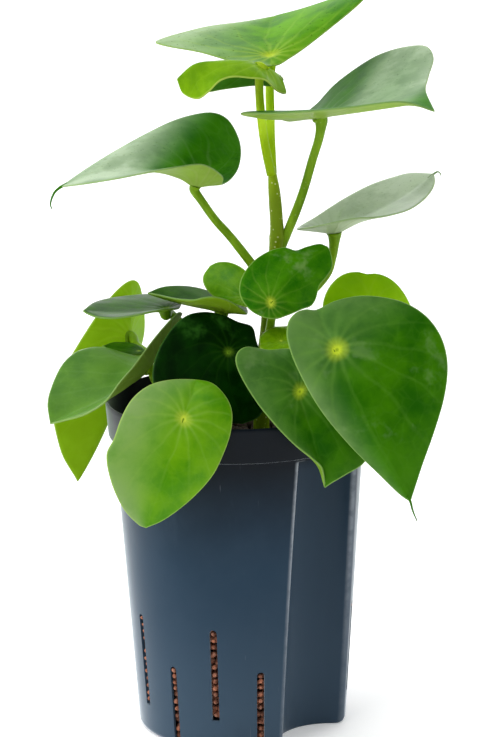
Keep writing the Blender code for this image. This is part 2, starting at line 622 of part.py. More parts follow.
def filling_object(home, guides, look, rooms):
    """The clay filling: a core that follows the pot's inside, with pebbles on top."""
    low = FLOOR + GAP
    body = turned("clay_pebbles", [
        (0, low), (inner_radius(low) - 1.3 * MM - GAP, low),
        (inner_radius(low + 1.5 * MM) - GAP, low + 1.5 * MM),
        (inner_radius(FILL_TOP) - GAP, FILL_TOP), (0, FILL_TOP)][::-1], home, look,
        start=HALF_STEP)
    groove = flute_solid("groove_room", WALL + GAP, FILL_TOP + 9 * MM, guides)
    boolean(body, groove, "DIFFERENCE")
    boolean(body, pebble_cutter("pebble_tops", guides), "UNION")
    for room in rooms:
        boolean(body, room, "DIFFERENCE")
    return body


def round_off(made, angle=35):
    """Smooth shading that keeps the sharp edges."""
    made.data.shade_smooth()
    made.data.set_sharp_from_angle(angle=math.radians(angle))


def main():
    """Builds the whole plant."""
    for old in list(bpy.data.objects):
        bpy.data.objects.remove(old)
    home = collection("potted_peperomia")
    guides = collection("cutters")
    pot_look = material("pot_plastic", (0.035, 0.050, 0.070), 0.42)
    clay_look = material("baked_clay", (0.30, 0.11, 0.06), 0.9)
    stem_look = material("stem_green", (0.22, 0.33, 0.03), 0.5)
    leaf_look = material("leaf_green", (0.05, 0.16, 0.015), 0.35)
    young_look = material("leaf_young_green", (0.16, 0.32, 0.02), 0.4)

    main_stem, main_room = stem_object("main_stem", MAIN_STEM, home, guides, stem_look)
    left_stem, left_room = stem_object("left_stem", LEFT_STEM, home, guides, stem_look)
    sleeves = {"main": main_room, "left": left_room}
    for name, leaf in LEAVES.items():
        look = young_look if "young" in name or leaf.get("small") else leaf_look
        leaf_object(name, leaf, sleeves, home, guides, look)
    foot = [millimetres(p) for p in LEAVES["leaf_front_left"]["route"][-3:]]
    foot[-1] = foot[-1] - Vector((0, 0, GAP))
    soil_room = as_cutter(tube("petiole_room", [(p, PETIOLE_RADIUS * 1.12 + 1.0 * MM)
                                                for p in foot], guides, sides=2))
    pot_objects(home, guides, pot_look)
    filling_object(home, guides, clay_look, (main_room, left_room, soil_room))
    for made in (main_stem, left_stem):
        round_off(made)
    bpy.context.view_layer.update()


main()
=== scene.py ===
"""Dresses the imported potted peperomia: its pot, clay filling, stems and leaves.

Lengths are in metres, +Z is up and -Y is the front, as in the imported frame.
"""
from __future__ import annotations

import json
import logging
import math
import random
from bisect import bisect_right
from dataclasses import dataclass
from enum import Enum
from typing import Callable, Mapping, Sequence

import bmesh
import bpy
from mathutils import Matrix, Vector, noise

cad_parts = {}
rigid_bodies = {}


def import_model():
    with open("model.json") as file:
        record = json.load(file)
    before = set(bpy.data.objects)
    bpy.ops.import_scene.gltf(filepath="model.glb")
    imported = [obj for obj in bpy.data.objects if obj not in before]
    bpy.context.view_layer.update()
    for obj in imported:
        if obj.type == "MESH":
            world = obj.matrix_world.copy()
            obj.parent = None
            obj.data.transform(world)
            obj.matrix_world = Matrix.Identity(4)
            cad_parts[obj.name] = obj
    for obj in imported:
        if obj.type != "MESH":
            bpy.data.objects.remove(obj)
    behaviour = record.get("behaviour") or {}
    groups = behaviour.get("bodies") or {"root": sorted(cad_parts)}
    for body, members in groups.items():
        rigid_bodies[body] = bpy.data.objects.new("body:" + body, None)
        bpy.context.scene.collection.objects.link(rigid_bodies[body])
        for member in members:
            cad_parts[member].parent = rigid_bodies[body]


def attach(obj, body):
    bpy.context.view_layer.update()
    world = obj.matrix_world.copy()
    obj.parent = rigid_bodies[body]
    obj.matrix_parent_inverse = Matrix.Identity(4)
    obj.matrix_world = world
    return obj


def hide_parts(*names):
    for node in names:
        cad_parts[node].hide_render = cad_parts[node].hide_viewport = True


for leftover in list(bpy.data.objects):
    bpy.data.objects.remove(leftover)
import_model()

LOG = logging.getLogger("peperomia")
MM = 0.001
MARGIN_STEPS = 24
VEIN_COUNT = 13
GOLDEN_TURN = math.radians(137.508)
SENSOR_HEIGHT = 36.0
Point = tuple[float, float, float]
Colour = tuple[float, float, float]
Look = tuple[object, bpy.types.NodeSocket, bpy.types.NodeSocket]


def millimetres(point: Sequence[float]) -> Vector:
    """A point in metres from one in millimetres."""
    return Vector(point) * MM


def eased(k: float, share: float) -> float:
    """A fraction from 0 to 1 that runs slower near both ends by the given share."""
    return share * (1 - math.cos(math.pi * k)) / 2 + (1 - share) * k


def on_circle(centre: Vector, radius: float, angle: float) -> Vector:
    """A point of a level circle, by its angle from +X."""
    return Vector((centre.x + radius * math.cos(angle), centre.y + radius * math.sin(angle),
                   centre.z))


def smooth_route(points: Sequence[Vector], count: int) -> list[Vector]:
    """Points along a smooth line through the given points.

    Args:
        points: The points that the line passes.
        count: The number of steps along the whole line.

    Returns:
        count + 1 points.
    """
    ends = [points[0] * 2 - points[1], *points, points[-1] * 2 - points[-2]]
    found = []
    spans = len(points) - 1
    for step in range(count + 1):
        where = step * spans / count
        index = min(int(where), spans - 1)
        t = where - index
        a, b, c, d = ends[index:index + 4]
        found.append(0.5 * ((2 * b) + (c - a) * t + (2 * a - 5 * b + 4 * c - d) * t * t
                            + (3 * b - a - 3 * c + d) * t ** 3))
    return found


def loft(bm: bmesh.types.BMesh,
         rings: Sequence[Sequence[Vector]]) -> list[bmesh.types.BMFace]:
    """Grows a closed skin through rings that have the same number of points.

    Args:
        bm: The mesh to grow it in.
        rings: The rings, from the first to the last.

    Returns:
        The new faces.
    """
    before = set(bm.faces)
    size = len(rings[0])
    ring = list(bmesh.ops.create_circle(bm, cap_ends=True, segments=size,
                                        radius=1.0)["verts"])
    ring.sort(key=lambda v: math.atan2(v.co.y, v.co.x))
    for vert, place in zip(ring, rings[0]):
        vert.co = place
    for places in rings[1:]:
        edges = [bm.edges.get((ring[i - 1], ring[i])) for i in range(size)]
        grown = bmesh.ops.extrude_edge_only(bm, edges=edges)["geom"]
        fresh = {item for item in grown if isinstance(item, bmesh.types.BMVert)}
        ring = [next(e.other_vert(v) for e in v.link_edges if e.other_vert(v) in fresh)
                for v in ring]
        for vert, place in zip(ring, places):
            vert.co = place
    edges = [bm.edges.get((ring[i - 1], ring[i])) for i in range(size)]
    bmesh.ops.contextual_create(bm, geom=edges)
    return [face for face in bm.faces if face not in before]


def take_in(bm: bmesh.types.BMesh, other: bmesh.types.BMesh) -> None:
    """Adds another bmesh to this one and frees the other."""
    carrier = bpy.data.meshes.new("carrier")
    other.to_mesh(carrier)
    other.free()
    bm.from_mesh(carrier)
    bpy.data.meshes.remove(carrier)


def rings_along(line: Sequence[Vector], radii: Sequence[float],
                sides: int) -> list[list[Vector]]:
    """Round rings across a line, without twist.

    Args:
        line: The centre line.
        radii: One radius for each point of the line.
        sides: The number of points in a ring.

    Returns:
        One ring for each point of the line.
    """
    ahead = [(line[min(i + 1, len(line) - 1)] - line[max(i - 1, 0)]).normalized()
             for i in range(len(line))]
    side = ahead[0].orthogonal().normalized()
    rings = []
    for place, way, radius in zip(line, ahead, radii):
        side = (side - way * side.dot(way)).normalized()
        other = way.cross(side)
        rings.append([place + (side * math.cos(a) + other * math.sin(a)) * radius
                      for a in (math.tau * k / sides for k in range(sides))])
    return rings


def new_object(name: str, data: bpy.types.ID) -> bpy.types.Object:
    """An object in the scene that shows some data."""
    made = bpy.data.objects.new(name, data)
    bpy.context.scene.collection.objects.link(made)
    return made


def mesh_object(bm: bmesh.types.BMesh, name: str) -> bpy.types.Object:
    """An object in the scene made of a bmesh, which is freed."""
    mesh = bpy.data.meshes.new(name)
    bm.to_mesh(mesh)
    bm.free()
    return new_object(name, mesh)


def finish_piece(bm: bmesh.types.BMesh, name: str, looks: Sequence[bpy.types.Material],
                 node: str, outward: bool = True) -> bpy.types.Object:
    """Turns a bmesh into a smooth piece that rides on the plant.

    Args:
        bm: The mesh, in world coordinates. It is freed.
        name: The piece's name.
        looks: Its materials, in slot order.
        node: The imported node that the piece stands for.
        outward: Whether the faces are turned outward first.

    Returns:
        The new object.
    """
    if outward:
        bmesh.ops.recalc_face_normals(bm, faces=bm.faces)
    for face in bm.faces:
        face.smooth = True
    piece = mesh_object(bm, name)
    for look in looks:
        piece.data.materials.append(look)
    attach(piece, "root")
    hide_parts(node)
    LOG.info("%s: %d faces", name, len(piece.data.polygons))
    return piece


class Web:
    """A small helper that lays and links shader nodes in one tree."""

    def __init__(self, tree: bpy.types.NodeTree) -> None:
        """Starts on an empty tree."""
        self.tree = tree
        self.count = 0

    def add(self, kind: str, **values: object) -> bpy.types.Node:
        """Lays a node and sets its plain properties."""
        node = self.tree.nodes.new(kind)
        node.location = (180 * (self.count % 9), -220 * (self.count // 9))
        self.count += 1
        for key, value in values.items():
            setattr(node, key, value)
        return node

    def feed(self, socket: bpy.types.NodeSocket, value: object) -> None:
        """Links a socket, or sets the input's own value."""
        if isinstance(value, bpy.types.NodeSocket):
            self.tree.links.new(value, socket)
        elif isinstance(value, (tuple, list)) and socket.type == "RGBA" and len(value) == 3:
            socket.default_value = (*value, 1.0)
        else:
            socket.default_value = value

    def lay(self, kind: str, *inputs: object, out: int | str = 0,
            **values: object) -> bpy.types.NodeSocket:
        """Lays a node, feeds its first inputs in order and gives one of its outputs."""
        node = self.add(kind, **values)
        for socket, value in zip(node.inputs, inputs):
            self.feed(socket, value)
        return node.outputs[out]

    def math(self, what: str, a: object, b: object = 0.0,
             clamp: bool = False) -> bpy.types.NodeSocket:
        """One step of arithmetic."""
        return self.lay("ShaderNodeMath", a, b, operation=what, use_clamp=clamp)

    def times(self, first: object, *others: object) -> object:
        """The product of several values."""
        for other in others:
            first = self.math("MULTIPLY", first, other)
        return first

    def vector(self, what: str, a: object, b: object) -> bpy.types.NodeSocket:
        """One step of arithmetic on vectors."""
        return self.lay("ShaderNodeVectorMath", a, b, operation=what,
                        out="Value" if what in ("DISTANCE", "DOT_PRODUCT") else "Vector")

    def parts(self, place: object) -> tuple[bpy.types.NodeSocket, ...]:
        """The x, y and z of a vector."""
        node = self.add("ShaderNodeSeparateXYZ")
        self.feed(node.inputs[0], place)
        return tuple(node.outputs)

    def ramp(self, value: object, low: float, high: float, start: float = 0.0,
             end: float = 1.0) -> bpy.types.NodeSocket:
        """A value carried smoothly from one range to another, held at both ends."""
        return self.lay("ShaderNodeMapRange", value, low, high, start, end, clamp=True,
                        interpolation_type="SMOOTHSTEP")

    def mix(self, share: object, a: object, b: object) -> bpy.types.NodeSocket:
        """Two colours mixed."""
        node = self.add("ShaderNodeMix", data_type="RGBA", clamp_factor=True)
        for index, value in ((0, share), (6, a), (7, b)):
            self.feed(node.inputs[index], value)
        return node.outputs[2]

    def cover(self, colour: object, *layers: tuple[object, object, object]) -> object:
        """A colour under thin layers, each a (mask, share, colour) of its own."""
        for mask, share, over in layers:
            colour = self.mix(self.times(mask, share), colour, over)
        return colour

    def grain(self, place: object, scale: float, detail: float = 3.0, rough: float = 0.55,
              stretch: Point | None = None, out: str = "Fac") -> bpy.types.NodeSocket:
        """Soft noise from 0 to 1 at a place."""
        if stretch is not None:
            mapping = self.add("ShaderNodeMapping")
            self.feed(mapping.inputs["Vector"], place)
            mapping.inputs["Scale"].default_value = stretch
            place = mapping.outputs[0]
        node = self.add("ShaderNodeTexNoise")
        for name, value in (("Vector", place), ("Scale", scale), ("Detail", detail),
                            ("Roughness", rough)):
            self.feed(node.inputs[name], value)
        return node.outputs[out]

    def cells(self, place: object, scale: float, edge: bool = True) -> bpy.types.NodeSocket:
        """The distance to the nearest cell wall, or to the cell's heart."""
        node = self.add("ShaderNodeTexVoronoi",
                        feature="DISTANCE_TO_EDGE" if edge else "F1")
        self.feed(node.inputs["Vector"], place)
        self.feed(node.inputs["Scale"], scale)
        return node.outputs["Distance"]

    def bump(self, height: object, strength: float, depth: float) -> bpy.types.NodeSocket:
        """A normal that is bumped by a height."""
        node = self.add("ShaderNodeBump")
        for name, value in (("Strength", strength), ("Distance", depth), ("Height", height)):
            self.feed(node.inputs[name], value)
        return node.outputs["Normal"]

    def attribute(self, name: str) -> bpy.types.NodeSocket:
        """A number that the mesh carries at its points."""
        return self.add("ShaderNodeAttribute", attribute_name=name).outputs["Fac"]

    def group(self, tree: bpy.types.NodeTree, **values: object) -> bpy.types.Node:
        """Lays a node group and feeds its inputs, with _ for a space in their names."""
        node = self.add("ShaderNodeGroup", node_tree=tree)
        for key, value in values.items():
            self.feed(node.inputs[key.replace("_", " ")], value)
        return node


def new_group(name: str, takes: Sequence[tuple[str, str, object]], gives: Sequence[str],
              fill: Callable[[Web, bpy.types.Node], dict[str, object]]
              ) -> bpy.types.NodeTree:
    """A shader node group with named inputs and outputs.

    Args:
        name: The group's name.
        takes: (name, socket type, default) of each input.
        gives: The name of each output, a number.
        fill: Lays the nodes and returns what feeds each output.

    Returns:
        The group.
    """
    tree = bpy.data.node_groups.new(name, "ShaderNodeTree")
    for label, kind, value in takes:
        socket = tree.interface.new_socket(label, in_out="INPUT", socket_type=kind)
        if value is not None:
            socket.default_value = value
    for label in gives:
        tree.interface.new_socket(label, in_out="OUTPUT", socket_type="NodeSocketFloat")
    web = Web(tree)
    results = fill(web, web.add("NodeGroupInput"))
    out = web.add("NodeGroupOutput")
    for label, value in results.items():
        web.feed(out.inputs[label], value)
    return tree


def leaf_pattern(web: Web, entry: bpy.types.Node) -> dict[str, object]:
    """Lays the veins, eye, edge and mottling of a leaf in its own flat plane."""
    plane, edge_way = entry.outputs["Plane"], entry.outputs["Edge way"]
    place = web.vector("ADD", plane,
                       web.lay("ShaderNodeCombineXYZ", 0.0, 0.0, entry.outputs["Seed"]))
    wobble = web.vector("SUBTRACT", web.grain(place, 4.0, 2.0, 0.5, out="Color"),
                        (0.5, 0.5, 0.5))
    bent = web.vector("ADD", plane, web.vector("MULTIPLY", wobble, (0.07, 0.07, 0.07)))
    x, y, _ = web.parts(bent)
    reach = web.math("SQRT", web.math("ADD", web.times(x, x), web.times(y, y)))
    narrow = web.math("MAXIMUM", web.math("SUBTRACT", 1.0, web.times(reach, 0.55)), 0.35)
    vein_turn = math.tau / VEIN_COUNT
    index = web.times(web.math("DIVIDE", web.math("ARCTAN2", y, x), narrow), 1 / vein_turn)
    apart = web.math("ABSOLUTE", web.math("SUBTRACT", index, web.math("ROUND", index)))
    away = web.times(web.times(apart, vein_turn), web.times(reach, narrow))
    line = web.ramp(away, 0.0015, 0.013, 1.0, 0.0)
    fade = web.ramp(reach, 0.05, 0.62, 1.0, 0.34)
    uneven = web.ramp(web.grain(place, 3.5, 2.0), 0.3, 0.7, 0.45, 1.0)
    rays = web.times(line, fade, uneven)

    glow = web.times(web.ramp(reach, 0.03, 0.26, 1.0, 0.0),
                     web.ramp(apart, 0.08, 0.46, 1.0, 0.25))
    ragged = web.math("ADD", reach,
                      web.ramp(web.grain(place, 22.0, 2.0), 0.2, 0.8, -0.004, 0.006))
    heart = web.ramp(ragged, 0.016, 0.036, 1.0, 0.0)
    halo = web.ramp(ragged, 0.026, 0.075, 1.0, 0.0)
    pit = web.ramp(reach, 0.004, 0.012, 1.0, 0.0)
    net = web.times(web.ramp(web.cells(bent, 13.0), 0.0, 0.085, 1.0, 0.0),
                    web.ramp(reach, 0.1, 0.3, 0.2, 1.0))
    mottle = web.ramp(web.grain(place, 5.0, 4.0, 0.6), 0.3, 0.7)
    fleck = web.ramp(web.grain(place, 58.0, 2.0, 0.5), 0.64, 0.72)
    edge = web.ramp(edge_way, 0.25, 1.05, 1.0, 0.0)
    relief = web.times(web.ramp(apart, 0.0, 0.5), 0.25)
    for height, share in ((mottle, 0.35), (rays, -0.25), (net, -0.06),
                          (web.grain(place, 160.0, 2.0), 0.05)):
        relief = web.math("ADD", relief, web.times(height, share))
    return {"Rays": rays, "Glow": glow, "Eye": heart, "Halo": halo, "Pit": pit, "Net": net,
            "Mottle": mottle, "Fleck": fleck, "Edge": edge, "Relief": relief}


def surface_grain(web: Web, entry: bpy.types.Node) -> dict[str, object]:
    """Lays broad cloudiness, fine grain and specks that any finish can use."""
    place = entry.outputs["Place"]
    return {
        "Cloud": web.ramp(web.grain(place, 28.0, 4.0, 0.6), 0.3, 0.7),
        "Fine": web.grain(place, 900.0, 3.0, 0.6),
        "Streak": web.ramp(web.grain(place, 140.0, 3.0, 0.6, (1.0, 1.0, 0.06)), 0.35, 0.65),
        "Speck": web.ramp(web.cells(place, 330.0, edge=False), 0.10, 0.22, 1.0, 0.0)}


class Groups:
    """The shader node groups that several finishes share."""

    def __init__(self) -> None:
        """Builds each group once."""
        self.leaf = new_group(
            "leaf_pattern",
            [("Plane", "NodeSocketVector", None), ("Edge way", "NodeSocketFloat", 5.0),
             ("Seed", "NodeSocketFloat", 0.0)],
            ("Rays", "Glow", "Eye", "Halo", "Pit", "Net", "Mottle", "Fleck", "Edge", "Relief"),
            leaf_pattern)
        self.grain = new_group("surface_grain", [("Place", "NodeSocketVector", None)],
                               ("Cloud", "Fine", "Streak", "Speck"), surface_grain)


@dataclass(frozen=True)
class Finish:
    """What every finish shares: its name and the way its material is put together."""

    name: str

    def start(self, side: str = "") -> tuple[bpy.types.Material, Web, bpy.types.NodeSocket]:
        """An empty material, its web and the input that its shader feeds."""
        made = bpy.data.materials.new(self.name + side)
        made.use_nodes = True
        made.node_tree.nodes.clear()
        web = Web(made.node_tree)
        return made, web, web.add("ShaderNodeOutputMaterial").inputs["Surface"]

    @staticmethod
    def place(web: Web) -> bpy.types.NodeSocket:
        """The place on the piece, in its own coordinates."""
        return web.add("ShaderNodeTexCoord").outputs["Object"]

    @staticmethod
    def shader(web: Web, colour: object, rough: object, normal: object = None,
               ior: float = 1.5) -> bpy.types.Node:
        """A Principled shader with its main inputs fed."""
        made = web.add("ShaderNodeBsdfPrincipled")
        web.feed(made.inputs["Base Color"], colour)
        web.feed(made.inputs["Roughness"], rough)
        if normal is not None:
            web.feed(made.inputs["Normal"], normal)
        made.inputs["IOR"].default_value = ior
        return made

    @staticmethod
    def thin(web: Web, shader: bpy.types.Node, colour: object, tint: Colour,
             share: float) -> bpy.types.NodeSocket:
        """A shader that also lets a share of the light through, as fleshy leaves do."""
        light = web.lay("ShaderNodeBsdfTranslucent", web.mix(0.5, colour, tint))
        return web.lay("ShaderNodeMixShader", share, shader.outputs[0], light)


@dataclass(frozen=True)
class LeafFinish(Finish):
    """The finish of one tone of leaf, on its upper side and its underside."""

    deep: Colour
    light: Colour
    vein: Colour
    eye: Colour
    edge: Colour
    under: Colour
    under_vein: Colour
    roughness: float = 0.33
    under_roughness: float = 0.46
    # Pale colour of the painted sheen and of the painted highlight patches, standing in for
    # reflected light.
    sheen_paint: Colour = (0.26, 0.40, 0.14)
    through: float = 0.16
    ray_share: float = 0.20
    glow_share: float = 0.22
    net_share: float = 0.05
    fleck_share: float = 0.0
    # Share of the painted highlight patches: pale noise patches that stand in for glossy
    # reflections.
    painted_highlight_share: float = 0.0
    ior: float = 1.24
    lit: Colour = (0.42, 0.62, 0.03)

    def upper_side(self, web: Web, look: Mapping[str, bpy.types.NodeSocket]) -> Look:
        """The colour, roughness and normal of the upper side."""
        colour = web.mix(look["Mottle"], self.deep, self.light)
        # Painted sheen: the per-point share from the mesh mixes in a pale colour where the leaf
        # reflects light.
        sheen_paint = web.math("MULTIPLY", web.attribute("bloom"),
                       web.ramp(look["Mottle"], 0.0, 1.0, 0.75, 1.15), clamp=True)
        colour = web.mix(sheen_paint, colour, self.sheen_paint)
        # Painted highlights: noise patches in the pale sheen colour stand in for glossy
        # reflections.
        if self.painted_highlight_share:
            highlight_patches = web.grain(self.place(web), 42.0, 4.0, 0.65)
            colour = web.cover(colour, (web.ramp(highlight_patches, 0.56, 0.70), self.painted_highlight_share,
                                        self.sheen_paint))
        dark = (self.deep[0] * 0.4, self.deep[1] * 0.45, self.deep[2])
        colour = web.cover(
            colour, (look["Net"], self.net_share, self.vein),
            (look["Glow"], self.glow_share, self.vein), (look["Rays"], self.ray_share, self.vein),
            (look["Fleck"], self.fleck_share, dark), (look["Halo"], 0.5, self.eye),
            (look["Eye"], 1.0, self.eye), (look["Pit"], 0.45, self.light),
            (look["Edge"], 0.65, self.edge))
        rough = web.ramp(look["Mottle"], 0.0, 1.0, self.roughness - 0.03, self.roughness + 0.05)
        return colour, rough, web.bump(look["Relief"], 0.22, 1.0 * MM)

    def lower_side(self, web: Web, look: Mapping[str, bpy.types.NodeSocket]) -> Look:
        """The colour, roughness and normal of the underside."""
        pale = tuple(min(1.0, c * 1.25 + 0.01) for c in self.under)
        colour = web.cover(web.mix(look["Mottle"], self.under, pale),
                           (look["Rays"], 0.5, self.under_vein),
                           (look["Edge"], 0.7, self.edge))
        rough = web.ramp(look["Mottle"], 0.0, 1.0, self.under_roughness - 0.04,
                         self.under_roughness + 0.05)
        height = web.math("ADD", look["Rays"], web.times(look["Mottle"], 0.3))
        return colour, rough, web.bump(height, 0.3, 1.0 * MM)

    def build(self, groups: Groups, upper: bool) -> bpy.types.Material:
        """Makes the material of one side.

        Args:
            groups: The shared node groups.
            upper: Whether it is the upper side.

        Returns:
            The material.
        """
        made, web, surface = self.start("_upper" if upper else "_under")
        plane = web.add("ShaderNodeUVMap", uv_map="leaf_plane").outputs[0]
        look = web.group(groups.leaf, Plane=plane, Edge_way=web.attribute("edge_way"),
                         Seed=web.attribute("leaf_seed")).outputs
        colour, rough, normal = (self.upper_side if upper else self.lower_side)(web, look)
        shader = self.shader(web, colour, rough, normal, self.ior)
        web.feed(surface, self.thin(web, shader, colour, self.lit, self.through))
        return made


@dataclass(frozen=True)
class StalkFinish(Finish):
    """The finish of fleshy stems and leaf stalks."""

    low: Colour
    high: Colour
    old: Colour
    old_share: float = 0.0
    old_top: float = 310 * MM
    speck_share: float = 0.15
    # Painted light: share of a brightening of the stalks' tops just under the crown leaves, where
    # the leaves above shade them.
    painted_light_share: float = 0.0
    roughness: float = 0.36
    ior: float = 1.22
    through: float = 0.15
    lit: Colour = (0.5, 0.65, 0.02)
    speck: Colour = (0.62, 0.66, 0.28)
    # Painted light: the colour that the stalks' tops are brightened towards, between the two
    # heights below.
    crown: Colour = (0.70, 0.90, 0.05)
    painted_light_from: float = 334 * MM
    painted_light_full: float = 348 * MM

    def build(self, groups: Groups) -> bpy.types.Material:
        """Makes the material."""
        made, web, surface = self.start()
        place = self.place(web)
        look = web.group(groups.grain, Place=place).outputs
        height = web.parts(place)[2]
        age = web.times(web.ramp(height, self.old_top - 12 * MM, self.old_top + 20 * MM,
                                 1.0, 0.0), self.old_share)
        colour = web.cover(
            web.mix(look["Streak"], self.low, self.high),
            (age, web.ramp(look["Cloud"], 0.0, 1.0, 0.55, 1.0), self.old),
            # Painted light: brighter stalk tops under the crown leaves, in place of the shade the
            # leaves cast.
            (web.ramp(height, self.painted_light_from, self.painted_light_full), self.painted_light_share, self.crown),
            (look["Speck"], self.speck_share, self.speck))
        rough = web.ramp(look["Cloud"], 0.0, 1.0, self.roughness - 0.05, self.roughness + 0.08)
        bumps = web.math("ADD", web.times(look["Streak"], 0.6), look["Speck"])
        shader = self.shader(web, colour, rough, web.bump(bumps, 0.25, 0.5 * MM), self.ior)
        web.feed(surface, self.thin(web, shader, colour, self.lit, self.through))
        return made


@dataclass(frozen=True)
class PlasticFinish(Finish):
    """The dark semi-matt moulded plastic of the pot, with painted shade near the rim and painted
    light low down and on the groove.
    """

    name: str = "moulded_plastic"
    body: Colour = (0.014, 0.037, 0.066)
    # Worn plastic; the same colour also paints light into the groove's hollow.
    wear_and_groove_light: Colour = (0.035, 0.062, 0.095)
    # Painted light on the pot: the lower part lightened towards this colour, standing in for light
    # from the pale floor.
    dust_and_floor_light: Colour = (0.052, 0.088, 0.130)
    # Painted shade: near-black that darkens the upper wall and rim, where the leaves above shade
    # them.
    painted_rim_shade: Colour = (0.001, 0.003, 0.006)
    # Painted highlight along the groove's upright edges.
    edge: Colour = (0.30, 0.33, 0.37)
    scratched: Colour = (0.2, 0.22, 0.26)
    sheen: Colour = (0.86, 0.93, 1.0)
    sheen_roughness: float = 0.28
    roughness: float = 0.36
    ior: float = 1.2

    @staticmethod
    def painted_groove_light(web: Web, place: bpy.types.NodeSocket, z: bpy.types.NodeSocket,
               pot: Pot) -> tuple[bpy.types.NodeSocket, bpy.types.NodeSocket]:
        """Masks for painted light on the groove: a painted highlight along its upright edges,
        fading lower down, and painted light in its hollow.

        Args:
            web: Lays the nodes.
            place: The place on the piece.
            z: Its height.
            pot: The pot, for the sizes of its wall and groove.

        Returns:
            The share of the painted edge highlight, and the share of the painted light in the
            hollow.
        """
        flat = web.vector("MULTIPLY", place, (1.0, 1.0, 0.0))
        apart = []
        for centre, radius_at in ((Vector((0, 0, 0)), pot.radius_at),
                                  (pot.groove_centre, pot.groove_at)):
            radius = web.math("ADD", web.times(z, radius_at(1) - radius_at(0)), radius_at(0))
            spoke = web.vector("DISTANCE", flat, centre)
            apart.append(web.math("ABSOLUTE", web.math("SUBTRACT", spoke, radius)))
        near = web.ramp(web.math("ADD", *apart), 1.2 * MM, 3.6 * MM, 0.9, 0.0)
        # The painted edge highlight is brighter higher up and stops below the rim.
        upper = web.times(web.ramp(z, 20 * MM, 150 * MM, 0.35, 1.0),
                          web.ramp(z, 166.5 * MM, 169 * MM, 1.0, 0.0))
        uneven = web.ramp(web.grain(place, 160.0, 3.0, 0.6), 0.3, 0.6, 0.6, 1.0)
        # Painted light in the groove's hollow, below its top.
        hollow = web.times(web.ramp(apart[1], 0.6 * MM, 1.6 * MM, 0.6, 0.0),
                           web.ramp(z, 150 * MM, 165 * MM, 1.0, 0.0))
        return web.times(near, upper, uneven), hollow

    def build(self, groups: Groups, pot: Pot) -> bpy.types.Material:
        """Makes the material.

        Args:
            groups: The shared node groups.
            pot: The pot that it covers.

        Returns:
            The material.
        """
        made, web, surface = self.start()
        place = self.place(web)
        look = web.group(groups.grain, Place=place).outputs
        cloud, z = look["Cloud"], web.parts(place)[2]
        scuff = web.ramp(web.grain(place, 60.0, 5.0, 0.7, (1.0, 1.0, 0.25)), 0.56, 0.74)
        scratch = web.times(
            web.ramp(web.grain(place, 420.0, 2.0, 0.5, (1.0, 1.0, 0.05)), 0.70, 0.76),
            web.ramp(cloud, 0.55, 0.95))
        dust = web.math("ADD", web.times(cloud, 0.22),
                        web.times(web.ramp(z, 0.0, 35 * MM, 0.5, 0.0), cloud), clamp=True)
        edges, hollow = self.painted_groove_light(web, place, z, pot)
        colour = web.cover(
            # Painted shade: near-black over the upper wall and rim.
            self.body, (web.ramp(z, 100 * MM, 175 * MM), 1.0, self.painted_rim_shade),
            # Painted light: the lower part lighter, as light from the pale floor.
            (web.ramp(z, 0.0, 110 * MM, 0.75, 0.0), 1.0, self.dust_and_floor_light),
            (dust, web.ramp(z, 120 * MM, 170 * MM, 1.0, 0.15), self.wear_and_groove_light),
            (scuff, 0.22, self.wear_and_groove_light), (scratch, 0.35, self.scratched),
            # Painted light in the groove's hollow and a painted highlight along its edges.
            (hollow, 1.0, self.wear_and_groove_light), (edges, 1.0, self.edge))
        rough = web.math("ADD", web.ramp(cloud, 0.0, 1.0, self.roughness - 0.05,
                                         self.roughness + 0.06), web.times(scuff, 0.08))
        bumps = web.math("ADD", web.times(look["Fine"], 0.5), web.times(cloud, 0.8))
        shader = self.shader(web, colour, rough, web.bump(bumps, 0.12, 0.4 * MM), self.ior)
        for name, value in (("Weight", 1.0), ("Roughness", self.sheen_roughness),
                            ("Tint", self.sheen)):
            web.feed(shader.inputs["Sheen " + name], value)
        web.feed(surface, shader.outputs[0])
        return made


@dataclass(frozen=True)
class ClayFinish(Finish):
    """The porous baked clay of the filling."""

    name: str = "baked_clay_grains"
    dark: Colour = (0.13, 0.042, 0.022)
    bright: Colour = (0.42, 0.145, 0.075)
    # Pale dust on the grains.
    dust_and_floor_light: Colour = (0.50, 0.27, 0.19)
    # Painted shade: near-black over the upper grains, standing in for the shade inside the pot.
    painted_inner_shade: Colour = (0.010, 0.007, 0.006)

    def build(self, groups: Groups) -> bpy.types.Material:
        """Makes the material."""
        made, web, surface = self.start()
        place = self.place(web)
        fine = web.group(groups.grain, Place=place).outputs["Fine"]
        pores = web.ramp(web.cells(place, 1500.0, edge=False), 0.12, 0.34, 1.0, 0.0)
        colour = web.cover(
            web.mix(web.attribute("grain_shade"), self.dark, self.bright),
            # Pale dust in blotches on the grains.
            (web.ramp(web.grain(place, 420.0, 4.0, 0.65), 0.42, 0.66), 0.4, self.dust_and_floor_light),
            # Painted shade on the grains near the top.
            (web.ramp(web.parts(place)[2], 100 * MM, 150 * MM), 0.93, self.painted_inner_shade),
            (pores, 0.6, self.dark))
        normal = web.bump(web.math("SUBTRACT", fine, pores), 0.6, 0.6 * MM)
        shader = self.shader(web, colour, web.ramp(fine, 0.3, 0.7, 0.8, 0.95), normal)
        web.feed(surface, shader.outputs[0])
        return made


